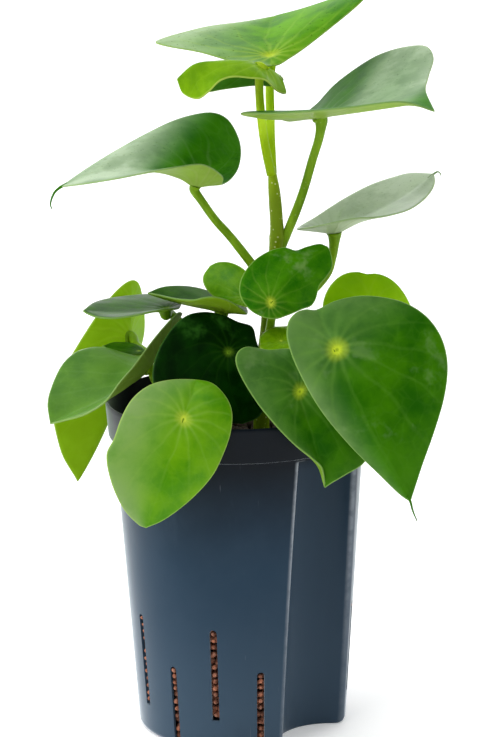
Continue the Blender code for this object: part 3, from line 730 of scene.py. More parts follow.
@dataclass(frozen=True)
class FloorFinish(Finish):
    """A plain pale floor with a very faint unevenness."""

    name: str = "pale_floor"
    colour: Colour = (0.92, 0.92, 0.92)
    glow: float = 0.22

    def build(self) -> bpy.types.Material:
        """Makes the material."""
        made, web, surface = self.start()
        cloud = web.ramp(web.grain(self.place(web), 1.5, 3.0), 0.2, 0.8)
        tone = tuple(c * 0.985 for c in self.colour)
        shader = self.shader(web, web.mix(cloud, tone, self.colour), 0.8)
        shader.inputs["Emission Color"].default_value = (1.0, 1.0, 1.0, 1.0)
        shader.inputs["Emission Strength"].default_value = self.glow
        web.feed(surface, shader.outputs[0])
        return made


class Tone(Enum):
    """The tones that the leaves come in."""

    DEEP = "deep"
    LUSH = "lush"
    CROWN = "crown"
    GLAZED = "glazed"
    SHEEN_GREY = "silvered"
    MIDDLE = "middle"
    DUSKY = "dusky"
    FRESH = "fresh"
    YOUNG = "young"
    SHADED = "shaded"
    BACKLIT = "backlit"


LEAF_FINISHES = {
    Tone.DEEP: LeafFinish(
        "leaf_deep", (0.011, 0.098, 0.001), (0.045, 0.185, 0.001), (0.16, 0.34, 0.05),
        (0.52, 0.66, 0.03), (0.26, 0.44, 0.10), (0.14, 0.26, 0.02), (0.24, 0.36, 0.06),
        painted_highlight_share=0.22, ior=1.11, sheen_paint=(0.24, 0.36, 0.15)),
    Tone.LUSH: LeafFinish(
        "leaf_lush", (0.016, 0.145, 0.001), (0.066, 0.262, 0.002), (0.26, 0.44, 0.05),
        (0.60, 0.72, 0.05), (0.30, 0.48, 0.10), (0.18, 0.32, 0.02), (0.28, 0.40, 0.06),
        ray_share=0.24, glow_share=0.22, fleck_share=0.4, painted_highlight_share=0.5, ior=1.10),
    Tone.CROWN: LeafFinish(
        "leaf_crown", (0.030, 0.205, 0.001), (0.150, 0.430, 0.002), (0.40, 0.60, 0.06),
        (0.62, 0.76, 0.05), (0.36, 0.54, 0.10), (0.18, 0.32, 0.02), (0.28, 0.40, 0.06),
        ray_share=0.42, glow_share=0.45, fleck_share=0.7, ior=1.05, through=0.38,
        sheen_paint=(0.46, 0.62, 0.36)),
    Tone.GLAZED: LeafFinish(
        "leaf_glazed", (0.010, 0.115, 0.001), (0.045, 0.215, 0.003), (0.22, 0.40, 0.12),
        (0.52, 0.66, 0.05), (0.28, 0.42, 0.14), (0.24, 0.38, 0.05), (0.36, 0.48, 0.12),
        roughness=0.38, ior=1.09, fleck_share=0.3, sheen_paint=(0.46, 0.58, 0.40)),
    # Partly real, partly painted sheen: the higher IOR reflects more, and the greyer, paler
    # colours paint the grey sheen of a leaf seen at a glancing angle.
    Tone.SHEEN_GREY: LeafFinish(
        "leaf_sheen_grey", (0.050, 0.150, 0.012), (0.110, 0.250, 0.040), (0.26, 0.42, 0.16),
        (0.52, 0.66, 0.05), (0.30, 0.44, 0.16), (0.36, 0.46, 0.26), (0.42, 0.52, 0.24),
        roughness=0.36, ior=1.6, fleck_share=0.4, sheen_paint=(0.52, 0.62, 0.48)),
    Tone.MIDDLE: LeafFinish(
        "leaf_middle", (0.045, 0.170, 0.003), (0.095, 0.260, 0.006), (0.22, 0.40, 0.10),
        (0.55, 0.68, 0.05), (0.32, 0.48, 0.14), (0.20, 0.33, 0.04), (0.30, 0.42, 0.08)),
    Tone.DUSKY: LeafFinish(
        "leaf_dusky", (0.010, 0.070, 0.001), (0.035, 0.130, 0.003), (0.12, 0.24, 0.05),
        (0.36, 0.50, 0.04), (0.22, 0.38, 0.08), (0.20, 0.36, 0.01), (0.30, 0.46, 0.05),
        ior=1.10),
    Tone.FRESH: LeafFinish(
        "leaf_fresh", (0.070, 0.285, 0.001), (0.172, 0.415, 0.003), (0.34, 0.56, 0.08),
        (0.66, 0.80, 0.06), (0.42, 0.60, 0.12), (0.24, 0.40, 0.02), (0.34, 0.48, 0.06),
        through=0.2),
    Tone.YOUNG: LeafFinish(
        "leaf_young", (0.125, 0.300, 0.001), (0.200, 0.410, 0.002), (0.42, 0.60, 0.05),
        (0.66, 0.78, 0.06), (0.50, 0.64, 0.12), (0.03, 0.15, 0.001), (0.08, 0.22, 0.005),
        through=0.2, ior=1.12),
    Tone.SHADED: LeafFinish(
        "leaf_shaded", (0.0003, 0.009, 0.0001), (0.002, 0.024, 0.0003), (0.02, 0.08, 0.004),
        (0.10, 0.20, 0.01), (0.04, 0.12, 0.02), (0.02, 0.06, 0.004), (0.04, 0.09, 0.01),
        roughness=0.28, through=0.03, ior=1.08, net_share=0.0, painted_highlight_share=0.5,
        sheen_paint=(0.03, 0.13, 0.012)),
    Tone.BACKLIT: LeafFinish(
        "leaf_backlit", (0.250, 0.500, 0.002), (0.370, 0.620, 0.006), (0.46, 0.64, 0.06),
        (0.60, 0.72, 0.06), (0.50, 0.66, 0.12), (0.30, 0.46, 0.01), (0.40, 0.54, 0.04),
        through=0.5, ior=1.22, sheen_paint=(0.42, 0.56, 0.26)),
}


@dataclass
class Leaf:
    """One leaf: a fleshy blade on its stalk, drawn through points in millimetres."""

    node: str
    base: Point
    eye: Point
    tip: Point
    left: tuple[Point, ...]
    right: tuple[Point, ...]
    route: tuple[Point, ...]
    bulge: tuple[float, float] = (0.10, 0.10)
    wide: tuple[float, float] = (0.38, 0.38)
    drawn: float = 0.03
    blunt: float = 0.62
    hook: Point = (0, 0, 0)
    ridge: tuple[Point, ...] = ()
    tail: tuple[Point, ...] = ()
    tail_radius: float = 1.0 * MM
    tone: Tone = Tone.DEEP
    bright_stalk: bool = False
    small: bool = False
    # Painted sheen shares at the left margin, right margin, base and tip: where a pale colour
    # stands in for reflected light.
    bloom: tuple[float, float, float, float] = (0.0, 0.0, 0.0, 0.0)
    bloom_from: float = -0.4
    bloom_to: float = 2.0
    bloom_over: float = 0.3
    bloom_curve: float = 1.4
    seed: int = 1
    thickness: float = 1.3 * MM
    stalk_radius: float = 2.3 * MM
    flare: float = 0.9
    flare_length: float = 3.2 * MM
    ripple: float = 0.5 * MM
    fold: float = 0.15
    dimple: float = 1.1 * MM
    dimple_reach: float = 4.5 * MM
    grid: tuple[int, int] = (84, 44)
    small_grid: tuple[int, int] = (36, 20)

    def __post_init__(self) -> None:
        """Works out the blade's guiding lines."""
        self.start = millimetres(self.base)
        self.heart = millimetres(self.eye)
        self.bend = millimetres(self.hook)
        self.end = millimetres(self.tip) - self.bend
        back = (self.start - self.heart).length
        self.eye_at = back / (back + (self.end - self.heart).length)
        self.length = (self.start - self.heart).length + (self.end - self.heart).length
        self.edges: list[tuple[list[Vector], list[float]]] = []
        self.spine: tuple[list[Vector], list[float]] | None = None
        if self.ridge:
            points = [self.start, self.heart, *(millimetres(p) for p in self.ridge), self.end]
            line = smooth_route(points, MARGIN_STEPS * (len(points) - 1))
            marks = self.measured(line)
            self.spine = (line, marks)
            self.eye_at, self.length = marks[MARGIN_STEPS] / marks[-1], marks[-1]
        if len(self.left) == 1:
            self.arms = (millimetres(self.left[0]) - self.midrib(self.wide[0]),
                         millimetres(self.right[0]) - self.midrib(self.wide[1]))
        else:
            sides = [[millimetres(p) for p in side] for side in (self.left, self.right)]
            for own, other in ((sides[0], sides[1]), (sides[1], sides[0])):
                points = [other[0], self.start, *own, self.end + self.bend]
                line = smooth_route(points, MARGIN_STEPS * (len(points) - 1))[MARGIN_STEPS:]
                self.edges.append((line, self.measured(line)))
            self.arms = tuple(self.edge_point(side, 0.5) - self.midrib(0.5)
                              for side in (0, 1))
        self.across = (self.arms[0].normalized() - self.arms[1].normalized()).normalized()

    @staticmethod
    def measured(line: Sequence[Vector]) -> list[float]:
        """The length walked at each point of a line."""
        marks = [0.0]
        for near, far in zip(line, line[1:]):
            marks.append(marks[-1] + (far - near).length)
        return marks

    def edge_point(self, side: int, share: float) -> Vector:
        """A point of a drawn margin by its share of the margin's length."""
        return self.walk(*self.edges[side], share)

    @staticmethod
    def walk(line: Sequence[Vector], marks: Sequence[float], share: float) -> Vector:
        """The point of a measured line at a share of its length."""
        goal = min(max(share, 0.0), 1.0) * marks[-1]
        index = min(max(bisect_right(marks, goal) - 1, 0), len(line) - 2)
        return line[index].lerp(line[index + 1],
                                (goal - marks[index]) / (marks[index + 1] - marks[index]))

    def midrib(self, u: float) -> Vector:
        """The point of the midrib at the fraction u of the blade's length."""
        if self.spine:
            return self.walk(*self.spine, u)
        e = self.eye_at
        place = (self.start * ((u - e) * (u - 1) / e)
                 + self.heart * (u * (u - 1) / (e * (e - 1)))
                 + self.end * (u * (u - e) / (1 - e)))
        return place + self.bend * max((u - 0.82) / 0.18, 0.0) ** 2

    def along(self, u: float) -> Vector:
        """The midrib's direction at u."""
        u = min(max(u, 0.004), 0.996)
        return (self.midrib(u + 0.004) - self.midrib(u - 0.004)).normalized()

    def upward(self, u: float) -> Vector:
        """The upper side's direction at u on the midrib."""
        return self.along(u).cross(self.across).normalized()

    def half_width(self, u: float, side: int) -> float:
        """The share of the full half width at u."""
        share = min(max(u / (1 - self.drawn), 0.0), 1.0)
        power = math.log(0.5) / math.log(self.wide[side] / (1 - self.drawn))
        core = max(math.sin(math.pi * share ** power), 0.0) ** (self.blunt + 0.45 * share)
        return core + 0.10 * u ** 4 * math.sqrt(max(1 - u, 0.0))

    def reach(self, u: float, side: int) -> Vector:
        """The way from the midrib to one margin at u."""
        if self.edges:
            return self.edge_point(side, u) - self.midrib(u)
        return self.arms[side] * self.half_width(u, side)

    def surface(self, u: float, v: float) -> tuple[Vector, Vector, float]:
        """One point of the blade.

        Args:
            u: The fraction of the blade's length.
            v: The place across it, 1 at the left margin and -1 at the right.

        Returns:
            The point, its place in the leaf's flat plane and the way to the margin in
            millimetres.
        """
        side = 0 if v > 0 else 1
        reach, normal, ahead = self.reach(u, side), self.upward(u), self.along(u)
        w = abs(v) ** 0.9
        rise = normal * reach.dot(normal)
        soft = (math.hypot(w, self.fold) - self.fold) / (math.hypot(1, self.fold) - self.fold)
        place = (self.midrib(u) + (reach - rise) * w + rise * soft
                 + normal * (self.bulge[side] * reach.length * (w - w * w)))
        wave = noise.noise(Vector((u * 3.2, v * 1.3, self.seed * 7.3)))
        place += normal * (wave * self.ripple * 1.6 * w * min(1.0, reach.length / (20 * MM)))
        walked = (u - self.eye_at) * self.length + reach.dot(ahead) * w
        out = math.sqrt(max(reach.length_squared - reach.dot(ahead) ** 2, 0.0)) * w
        plane = Vector((walked / self.length, math.copysign(out / self.length, v), 0.0))
        flat = Vector((plane.x, plane.y)).length * self.length
        place -= normal * (self.dimple * math.exp(-(flat / self.dimple_reach) ** 2)
                           * (0.5 if self.small else 1.0))
        return place, plane, (1 - abs(v)) * reach.length / MM

    def bloom_at(self, u: float, v: float) -> float:
        """How strongly the painted sheen, a pale colour that stands in for reflected light, shows
        at one point of the blade.
        """
        left, right, base, tip = self.bloom
        late = min(1.0, max(0.0, (u - self.bloom_from) / self.bloom_over),
                   max(0.0, (self.bloom_to - u) / 0.3))
        share = ((max(0.0, v) ** self.bloom_curve * left
                  + max(0.0, -v) ** self.bloom_curve * right + tip)
                 * late * late * (3 - 2 * late)
                 + base * max(0.0, 1 - u / self.eye_at / 1.6))
        patch = noise.noise(Vector((u * 2.6, v * 1.1, self.seed * 5.1 + 2.0)))
        return max(0.0, share * (1 + 0.8 * patch))

    def half_thickness(self, way: float) -> float:
        """Half the blade's thickness at a way from the margin in millimetres."""
        return self.thickness / 2 * (0.42 + 0.58 * min(1.0, way / 2.5) ** 0.5)

    def blade(self, bm: bmesh.types.BMesh) -> None:
        """Grows the blade: a laid grid, closed below by a second skin."""
        uv = bm.loops.layers.uv.new("leaf_plane")
        way = bm.verts.layers.float.new("edge_way")
        seed = bm.verts.layers.float.new("leaf_seed")
        # Per-point share of the painted sheen.
        bloom = bm.verts.layers.float.new("bloom")
        rows, columns = self.small_grid if self.small else self.grid
        bmesh.ops.create_grid(bm, x_segments=rows, y_segments=columns, size=0.5)
        flat: dict[bmesh.types.BMVert, Vector] = {}
        for vert in list(bm.verts):
            u = eased(vert.co.x + 0.5, 0.6)
            t = round(vert.co.y * 2, 6)
            v = 0.55 * math.sin(math.pi / 2 * t) + 0.45 * t
            vert.co, flat[vert], vert[way] = self.surface(u, v)
            vert[seed] = self.seed * 3.7
            vert[bloom] = self.bloom_at(u, v)
        for face in bm.faces:
            for loop in face.loops:
                loop[uv].uv = flat[loop.vert].xy
        bmesh.ops.recalc_face_normals(bm, faces=bm.faces)
        middle = min(bm.faces, key=lambda f: (f.calc_center_median() - self.heart).length)
        if middle.normal.dot(self.upward(self.eye_at)) < 0:
            bmesh.ops.reverse_faces(bm, faces=bm.faces)
        bm.normal_update()
        skin = list(bm.faces)
        normals = {vert: vert.normal.copy() for vert in bm.verts}
        grown = bmesh.ops.extrude_face_region(bm, geom=skin, use_keep_orig=True)["geom"]
        lower = [item for item in grown if isinstance(item, bmesh.types.BMFace)]
        lower_verts = {item for item in grown if isinstance(item, bmesh.types.BMVert)}
        place_of = {vert.co.to_tuple(9): vert for vert in normals}
        for vert in lower_verts:
            twin = place_of[vert.co.to_tuple(9)]
            vert.co -= normals[twin] * self.half_thickness(vert[way])
        for vert, normal in normals.items():
            vert.co += normal * self.half_thickness(vert[way])
        for face in lower:
            if all(vert in lower_verts for vert in face.verts):
                face.material_index = 1
        bmesh.ops.remove_doubles(bm, verts=bm.verts, dist=0.01 * MM)
        bmesh.ops.recalc_face_normals(bm, faces=bm.faces)

    def stalk(self, bm: bmesh.types.BMesh) -> None:
        """Grows the leaf stalk, which widens below the eye."""
        down = -self.upward(self.eye_at)
        start = self.heart + down * (0.4 * MM)
        points = [start, start + down * (3 * MM)] + [millimetres(p) for p in self.route]
        slim, steps, sides = (0.62, 22, 12) if self.small else (1.0, 40, 20)
        line = smooth_route(points, steps)
        walked = 0.0
        radii = []
        for index, place in enumerate(line):
            if index:
                walked += (place - line[index - 1]).length
            wave = 1 + 0.05 * noise.noise(Vector((walked * 90, self.seed * 3.1, 0.5)))
            radii.append(slim * self.stalk_radius * wave
                         * (1 + self.flare * math.exp(-walked / (self.flare_length * slim))
                            + 0.12 * (index / steps) ** 2))
        tube = bmesh.new()
        for face in loft(tube, rings_along(line, radii, sides)):
            face.material_index = 2
        take_in(bm, tube)

    def drip(self, bm: bmesh.types.BMesh) -> None:
        """Grows the thin drawn-out end of the tip, where the leaf has one."""
        points = [millimetres(p) for p in self.tail]
        points.insert(0, points[0] + (self.midrib(0.96) - self.midrib(1.0)).normalized()
                      * (4 * MM))
        line = smooth_route(points, MARGIN_STEPS)
        radii = [self.tail_radius * (1.0 - 0.72 * (k / MARGIN_STEPS) ** 0.8)
                 for k in range(MARGIN_STEPS + 1)]
        tube = bmesh.new()
        uv = tube.loops.layers.uv.new("leaf_plane")
        way = tube.verts.layers.float.new("edge_way")
        for face in loft(tube, rings_along(line, radii, 10)):
            for loop in face.loops:
                loop[uv].uv = (0.72, 0.013)
                loop.vert[way] = 1.0
        take_in(bm, tube)

    def build(self, looks: Sequence[bpy.types.Material]) -> bpy.types.Object:
        """Makes the piece.

        Args:
            looks: The materials of the upper side, the underside and the stalk.

        Returns:
            The leaf's object.
        """
        bm = bmesh.new()
        self.blade(bm)
        self.stalk(bm)
        if self.tail:
            self.drip(bm)
        return finish_piece(bm, self.node.replace("leaf_", "foliage_"), looks,
                            self.node,
                            outward=False)


# Each leaf's sheen shares say where a pale painted sheen stands in for reflected light.
LEAVES = (
    Leaf("leaf_top", base=(21, -20, 380), eye=(20, 0, 383), tip=(24, 97, 392),
         left=((3, -10, 381), (-18, 4, 385), (-38, 16, 387), (-42, 30, 388), (-19, 64, 390),
               (4, 84, 390)),
         right=((31, -10, 383), (48, 4, 393), (70, 20, 408), (75, 34, 412.6), (69, 50, 410.6),
                (41, 92, 397)),
         route=((19.8, 1, 366), (19.9, 2.6, 349), (20.1, 3.4, 334), (20.6, 2.4, 317)),
         bulge=(.10, .12), tone=Tone.CROWN, seed=1, bloom=(1.2, .06, 0, 0), bright_stalk=True),
    Leaf("leaf_crown_young", base=(24.6, -20, 374.4), eye=(15.4, -26, 381.5),
         tip=(-30.7, -32, 374.8),
         ridge=((3.5, -28, 384), (-9, -29, 384), (-21, -30, 382.5)),
         left=((27, -26, 371), (28, -30, 366), (23, -36, 368.5), (17, -42, 375),
               (8.7, -45, 376.6), (-0.5, -46, 377.5), (-7.5, -46, 375.5), (-13.5, -45, 370),
               (-20, -42, 366), (-27.6, -36, 368)),
         right=((27, -14, 371), (22.5, -8, 367), (13, -4, 366.7), (3.5, -3, 366),
                (-6.5, -4, 365.3), (-15.3, -10, 365), (-24, -20, 368.5)),
         bulge=(.12, .12),
         route=((13.8, -19, 369), (14.5, -12, 354), (16.4, -6.4, 336), (20, -2.6, 317)),
         tone=Tone.YOUNG, seed=2, bright_stalk=True),
    Leaf("leaf_upper_right", base=(33, 17, 344), eye=(47, -4, 349), tip=(107, -60, 360),
         left=((46, 36, 349), (60, 48, 361), (83, 46, 376), (105, 32, 383), (111, 16, 379),
               (107, -6, 371), (104, -32, 367)),
         right=((25, 1, 347), (17, -15, 350), (5, -26, 354), (5, -37, 357), (18, -47, 358),
                (37, -55, 360), (60, -60, 363), (88, -63, 366)),
         bulge=(-.05, .14), hook=(0, 0, -6),
         route=((46.6, -3, 337), (43, -1, 325), (36, 0, 302), (22.5, 0, 269)),
         tone=Tone.GLAZED, seed=3, bloom=(.95, 0, 0, 0), bloom_from=.32, bloom_to=.95,
         bloom_over=.14, bloom_curve=.3, flare_length=5 * MM, flare=1.0),
    Leaf("leaf_upper_left", base=(-7.4, 3, 311), eye=(-22, 0, 311.5), tip=(-96.5, -6, 312.3),
         ridge=((-31.7, 0, 316), (-41.6, 0, 319.4), (-54, -1, 321.5), (-66.5, -2, 321),
                (-81.4, -4, 318.4)),
         left=((-6.7, -6, 316.6), (-12, -14, 322.6), (-19, -22, 326.5), (-28.4, -30, 327),
               (-39, -36, 326.5), (-51.7, -38, 324.5), (-64.3, -34, 321.3),
               (-79.6, -22, 317)),
         right=((-3, 14, 311.3), (1.6, 26, 315.4), (3.5, 36, 323), (2, 42, 331),
                (-3.6, 44, 340.5), (-12, 44, 344.6), (-23.4, 43, 343.7),
                (-36.4, 40, 340.4), (-51.6, 32, 334.5), (-66, 22, 328), (-81, 10, 320.5)),
         bulge=(-.02, .05),
         tail=((-96.5, -6, 312.3), (-99.8, -7, 309.7), (-101.8, -7, 305.8),
               (-102.4, -8, 302.6), (-101.6, -8, 300.4)),
         route=((-19, 0, 302.5), (-11.5, 0, 291.5), (-1, 0, 279), (19, -1, 252)),
         tone=Tone.GLAZED, seed=4, bloom=(.1, 0, 0, .85), bloom_from=.35, flare=0.4),
    Leaf("leaf_mid_right", base=(34, 3, 285), eye=(55, 10, 282), tip=(112.4, 34, 309.6),
         ridge=((68.5, 14, 287), (84, 20, 293), (99.6, 27, 300.7)),
         right=((39, -2, 286.5), (45.5, -8, 289), (54.8, -12, 292), (66, -14, 294.3),
                (77, -13, 294.2), (87, -8, 294.3), (97, 0, 295.4), (104.8, 10, 298.6),
                (110.4, 20, 303), (112.6, 28, 306.6)),
         left=((38, 12, 286), (45, 22, 288), (53.4, 32, 291.5), (63.3, 40, 296),
               (76.7, 46, 301.3), (90, 48, 305), (101, 44, 308.3)),
         bulge=(.04, .04),
         tail=((112, 34, 309.4), (114.4, 35, 310.6), (116, 36, 309.6), (116.6, 37, 307.8)),
         tail_radius=0.8 * MM,
         route=((54, 10, 268), (50, 9, 257), (38, 5, 246), (18, -1, 238)),
         tone=Tone.SHEEN_GREY, seed=5, bloom=(.35, .2, .45, .68), flare_length=5 * MM, flare=1.0),
    Leaf("leaf_centre", base=(13.6, -42, 245), eye=(19, -38, 252), tip=(50.8, -12, 277.5),
         left=((6.5, -40, 249), (1.7, -36, 255.6), (1.8, -31, 262), (5.2, -26, 268),
               (10.8, -21, 273), (18.6, -17, 276.7), (26.4, -15, 278), (32.5, -14, 276),
               (39.2, -12, 277.7), (46, -11, 279)),
         right=((21, -42, 243.7), (28.4, -38, 245), (35.7, -33, 247), (40.7, -29, 248),
                (43.6, -26, 251.7), (45.4, -23, 257.8), (49.4, -20, 262), (52.8, -17, 267),
                (52.4, -14, 273.4)),
         bulge=(.16, .16),
         route=((19, -30, 243), (17.5, -18, 230), (16, -3, 219)), tone=Tone.LUSH, seed=6),
    Leaf("leaf_front_right", base=(43, -64, 253.3), eye=(51.5, -83.7, 236),
         tip=(91.6, -97, 154.5),
         left=((53.5, -63, 258), (66, -62, 260.3), (79.5, -62, 259.3), (92, -62.5, 255.6),
               (103, -65, 248.2), (110.3, -69.5, 237.5), (113, -75, 224.3), (111, -81, 209),
               (105.4, -88, 192.1), (98.5, -92.5, 174)),
         right=((36.5, -66, 254), (31, -70, 252.8), (27, -76, 248.6), (26.8, -83, 240.6),
                (32, -90, 226.4), (43.5, -94, 205.7), (59.2, -96, 186), (75, -96.6, 169.6),
                (86, -97, 158.5)),
         bulge=(.12, .05),
         tail=((91.6, -97, 154.5), (93, -97, 149.1), (95.2, -97, 143.5)),
         route=((54, -70, 231), (52, -48, 222), (36, -20, 212), (14.5, -3, 206)),
         tone=Tone.DEEP, seed=7, bloom=(0, .4, .35, 0)),
    Leaf("leaf_back_right", base=(74, 30, 253), eye=(75, 22, 229), tip=(93, 45, 168),
         left=((102, 34, 222),), right=((49, 25, 229),), wide=(.36, .38), bulge=(.15, .05),
         drawn=.05, route=((70, 31, 226), (52, 26, 226), (32, 10, 226), (17, -2, 228)),
         tone=Tone.BACKLIT, seed=8),
    Leaf("leaf_front_middle", base=(28, -56, 230), eye=(33.5, -68, 209.3),
         tip=(46, -94, 162),
         right=((16.5, -55, 229.4), (4.5, -60, 232.4), (-1, -66, 229), (0.5, -71, 221),
                (9, -78, 207), (19.5, -84, 194.6), (30, -88, 184.4), (39, -91, 177.8),
                (44.4, -93, 172.7)),
         left=((39, -60, 226), (54, -66, 212), (66.8, -74, 194), (71.3, -80, 181),
               (67.3, -85, 173), (57.4, -90, 168), (49.7, -93, 164.3)),
         bulge=(.10, .10),
         route=((33, -55, 203), (27, -34, 196), (19, -12, 190), (13, -3, 188)),
         tone=Tone.DEEP, seed=9, bloom=(.1, .25, .2, 0)),
    Leaf("leaf_shoot", base=(7.2, -23, 246.5), eye=(4, -20, 251.6), tip=(-14.7, -8, 267),
         left=((-1.7, -20, 247.7), (-11, -16, 250), (-17, -13, 255), (-18.7, -10, 261)),
         right=((9, -20, 252), (8.5, -16, 259), (4.7, -12, 265), (-2.5, -9, 268.6),
                (-9.7, -8, 269)), bulge=(.12, .12), small=True,
         route=((7, -15, 248.5), (12, -7, 244), (17.8, -1.5, 238)), tone=Tone.FRESH, seed=10),
    Leaf("leaf_mid_left", base=(5.5, -22, 242.4), eye=(-8.4, -18, 243.4),
         tip=(-49.8, -1, 250.6),
         left=((2.7, -29, 246.8), (-3.3, -37, 252.6), (-11.5, -43, 256.5), (-18, -43, 256.1),
               (-24, -39, 253.9), (-31.4, -31, 252.8), (-40.5, -17, 251.9)),
         right=((5.5, -11, 242.8), (1.7, -1, 244.1), (-6, 7, 246.1), (-14.6, 12, 248.5),
                (-22.5, 14, 250.5), (-31.5, 13, 251.7), (-41.5, 7, 252.1)),
         bulge=(.05, .05),
         route=((-11.5, -15.5, 237.5), (-15.5, -13, 231), (-16, -13, 223)),
         tone=Tone.DUSKY, seed=11),
    Leaf("leaf_left_flat", base=(-31.3, -6, 244.6), eye=(-40.2, -8, 242.8),
         tip=(-85.8, -10, 242.8),
         left=((-32.8, -18, 245), (-39, -28, 247), (-47.8, -36, 247), (-57, -38, 245.7),
               (-67.7, -34, 243.8), (-77.5, -24, 242.3), (-83.4, -14, 242)),
         right=((-31.4, 6, 244.8), (-39, 18, 244.4), (-49.3, 25, 244), (-60.6, 25, 243.5),
                (-71.8, 20, 243.3), (-80.4, 8, 243.4)), bulge=(.10, .10),
         route=((-38, 0, 239), (-33, 2, 234), (-24, -4, 228), (-16, -13, 220)),
         tone=Tone.DUSKY, seed=12),
    Leaf("leaf_far_left", base=(-61, 51, 247), eye=(-63, 48, 214.5), tip=(-94, 40, 131),
         left=((-75, 42, 236), (-95, 30, 208), (-107, 26, 187), (-103, 32, 153)),
         right=((-55, 62, 238), (-55, 78, 208), (-66, 80, 183), (-82, 58, 151)),
         route=((-57, 38, 211), (-43, 13, 207), (-28, -4, 204), (-16, -13, 202)),
         tone=Tone.BACKLIT, seed=13, bloom=(0, 0, 0, .3)),
    Leaf("leaf_left_sliver", base=(-52.5, 19, 212.7), eye=(-56, 19, 212.7), tip=(-77.3, 26, 214.3),
         left=((-65, 13, 211.8),), right=((-65.7, 36, 214),), drawn=.02, small=True,
         route=((-54, 20, 207.5), (-45, 5, 207.5), (-30, -8, 209), (-16, -13, 210)),
         tone=Tone.DUSKY, seed=14),
    Leaf("leaf_left_front", base=(-30.6, -14, 241.7), eye=(-50, -24, 213),
         tip=(-104.3, -37, 185),
         ridge=((-61, -27, 204), (-73.3, -31, 197.3), (-89, -34, 191)),
         left=((-33.8, -22, 243), (-42.6, -32, 235.7), (-51, -40, 226.4),
               (-57.5, -46, 218.8), (-64.6, -50, 211.5), (-73, -52, 200.8),
               (-84.3, -48, 192.6), (-95.7, -42, 188)),
         right=((-33, -6, 237), (-41.7, -4, 227), (-49.8, -2, 217.6), (-56, 2, 213.3),
                (-65.3, 8, 214.3), (-75, 12, 216.4), (-83.4, 12, 216.5),
                (-92, 8, 214.7), (-99, 0, 209.7), (-104, -12, 201), (-106, -26, 193.7)),
         bulge=(.04, .10),
         route=((-45, -22, 204), (-35, -21, 198), (-25, -16, 195), (-16, -13, 194)),
         tone=Tone.MIDDLE, seed=15, bloom=(.15, 0, 0, .1)),
    Leaf("leaf_heart", base=(0.4, -30, 239.7), eye=(-5.3, -42, 225.6),
         tip=(2.3, -62, 189.8),
         left=((8, -27, 236), (10.5, -31, 228), (15, -38, 216.5), (16.5, -47, 203),
               (11.7, -56, 193)),
         right=((-8.4, -30, 243.8), (-18.8, -32, 246), (-29, -36, 244.3),
                (-38.6, -42, 235.6), (-45.8, -50, 222.4), (-45.4, -58, 209.7),
                (-32, -62, 199.3), (-13, -63, 192)), bulge=(.12, .12),
         route=((-6, -34, 221), (-10, -24, 213), (-16, -13, 209)),
         tone=Tone.SHADED, seed=16),
    Leaf("leaf_front_left", base=(-22.8, -66, 215.8), eye=(-29.4, -84, 199.2),
         tip=(-50.6, -100, 142.8),
         left=((-13.6, -66, 213.5), (-6.7, -70, 207), (-3.6, -74, 199.7),
               (-4.2, -78, 190.6), (-7.6, -83, 180.8), (-14.8, -89, 168),
               (-26.8, -95, 156.5), (-40.3, -99, 147.2)),
         right=((-35.8, -70, 217), (-47.5, -77, 216), (-56.6, -84, 210.7),
                (-62.5, -90, 202.3), (-67, -95, 191), (-71, -98.8, 183), (-68.8, -100.8, 169),
                (-62.7, -100.8, 154.2), (-55, -100, 145)), bulge=(.20, .15),
         route=((-29, -73, 197), (-27, -62, 193), (-24, -50, 182), (-23, -46, 168),
                (-23, -45, 153)), tone=Tone.FRESH, seed=17, bloom=(0, .8, 0, 0)),
    Leaf("leaf_low_young", base=(30.5, -34, 230.6), eye=(24, -36, 230),
         tip=(12.5, -35, 228.3),
         left=((29.3, -42, 227.3), (20, -46, 226), (12.8, -40, 226.6)),
         right=((29.6, -28, 234.3), (19.7, -26, 235), (13, -29, 231.4)),
         small=True, route=((24, -30, 222), (20, -16, 214), (14, -3, 212)),
         tone=Tone.YOUNG, seed=18),
    Leaf("leaf_back_right_low", base=(44, 34, 212), eye=(46, 52, 210), tip=(52, 112, 166),
         left=((18, 78, 196),), right=((80, 68, 200),), bulge=(.20, .20), drawn=.05,
         route=((44, 46, 203), (32, 26, 199), (20, 8, 197), (13.5, -3, 196)),
         tone=Tone.DEEP, seed=19),
    Leaf("leaf_back_left_low", base=(-20, 30, 208), eye=(-24, 48, 208),
         tip=(-36, 108, 160), left=((-56, 58, 196),), right=((6, 74, 194),),
         bulge=(.20, .20), drawn=.05,
         route=((-23, 44, 201), (-21, 26, 195), (-18, 4, 190), (-15.5, -13, 187)),
         tone=Tone.MIDDLE, seed=20),
)


@dataclass
class Foliage:
    """All the leaves, with one set of materials for each tone."""

    leaves: tuple[Leaf, ...] = LEAVES

    def build(self, groups: Groups) -> None:
        """Makes every leaf."""
        olive = StalkFinish("stalk_olive", (0.13, 0.27, 0.004), (0.22, 0.40, 0.010),
                            (0.14, 0.22, 0.004)).build(groups)
        bright = StalkFinish("stalk_bright", (0.36, 0.54, 0.004), (0.48, 0.66, 0.010),
                             (0.20, 0.30, 0.004), painted_light_share=0.8, through=0.5).build(groups)
        looks = {tone: (finish.build(groups, True), finish.build(groups, False))
                 for tone, finish in LEAF_FINISHES.items()}
        for leaf in self.leaves:
            leaf.build((*looks[leaf.tone], bright if leaf.bright_stalk else olive))


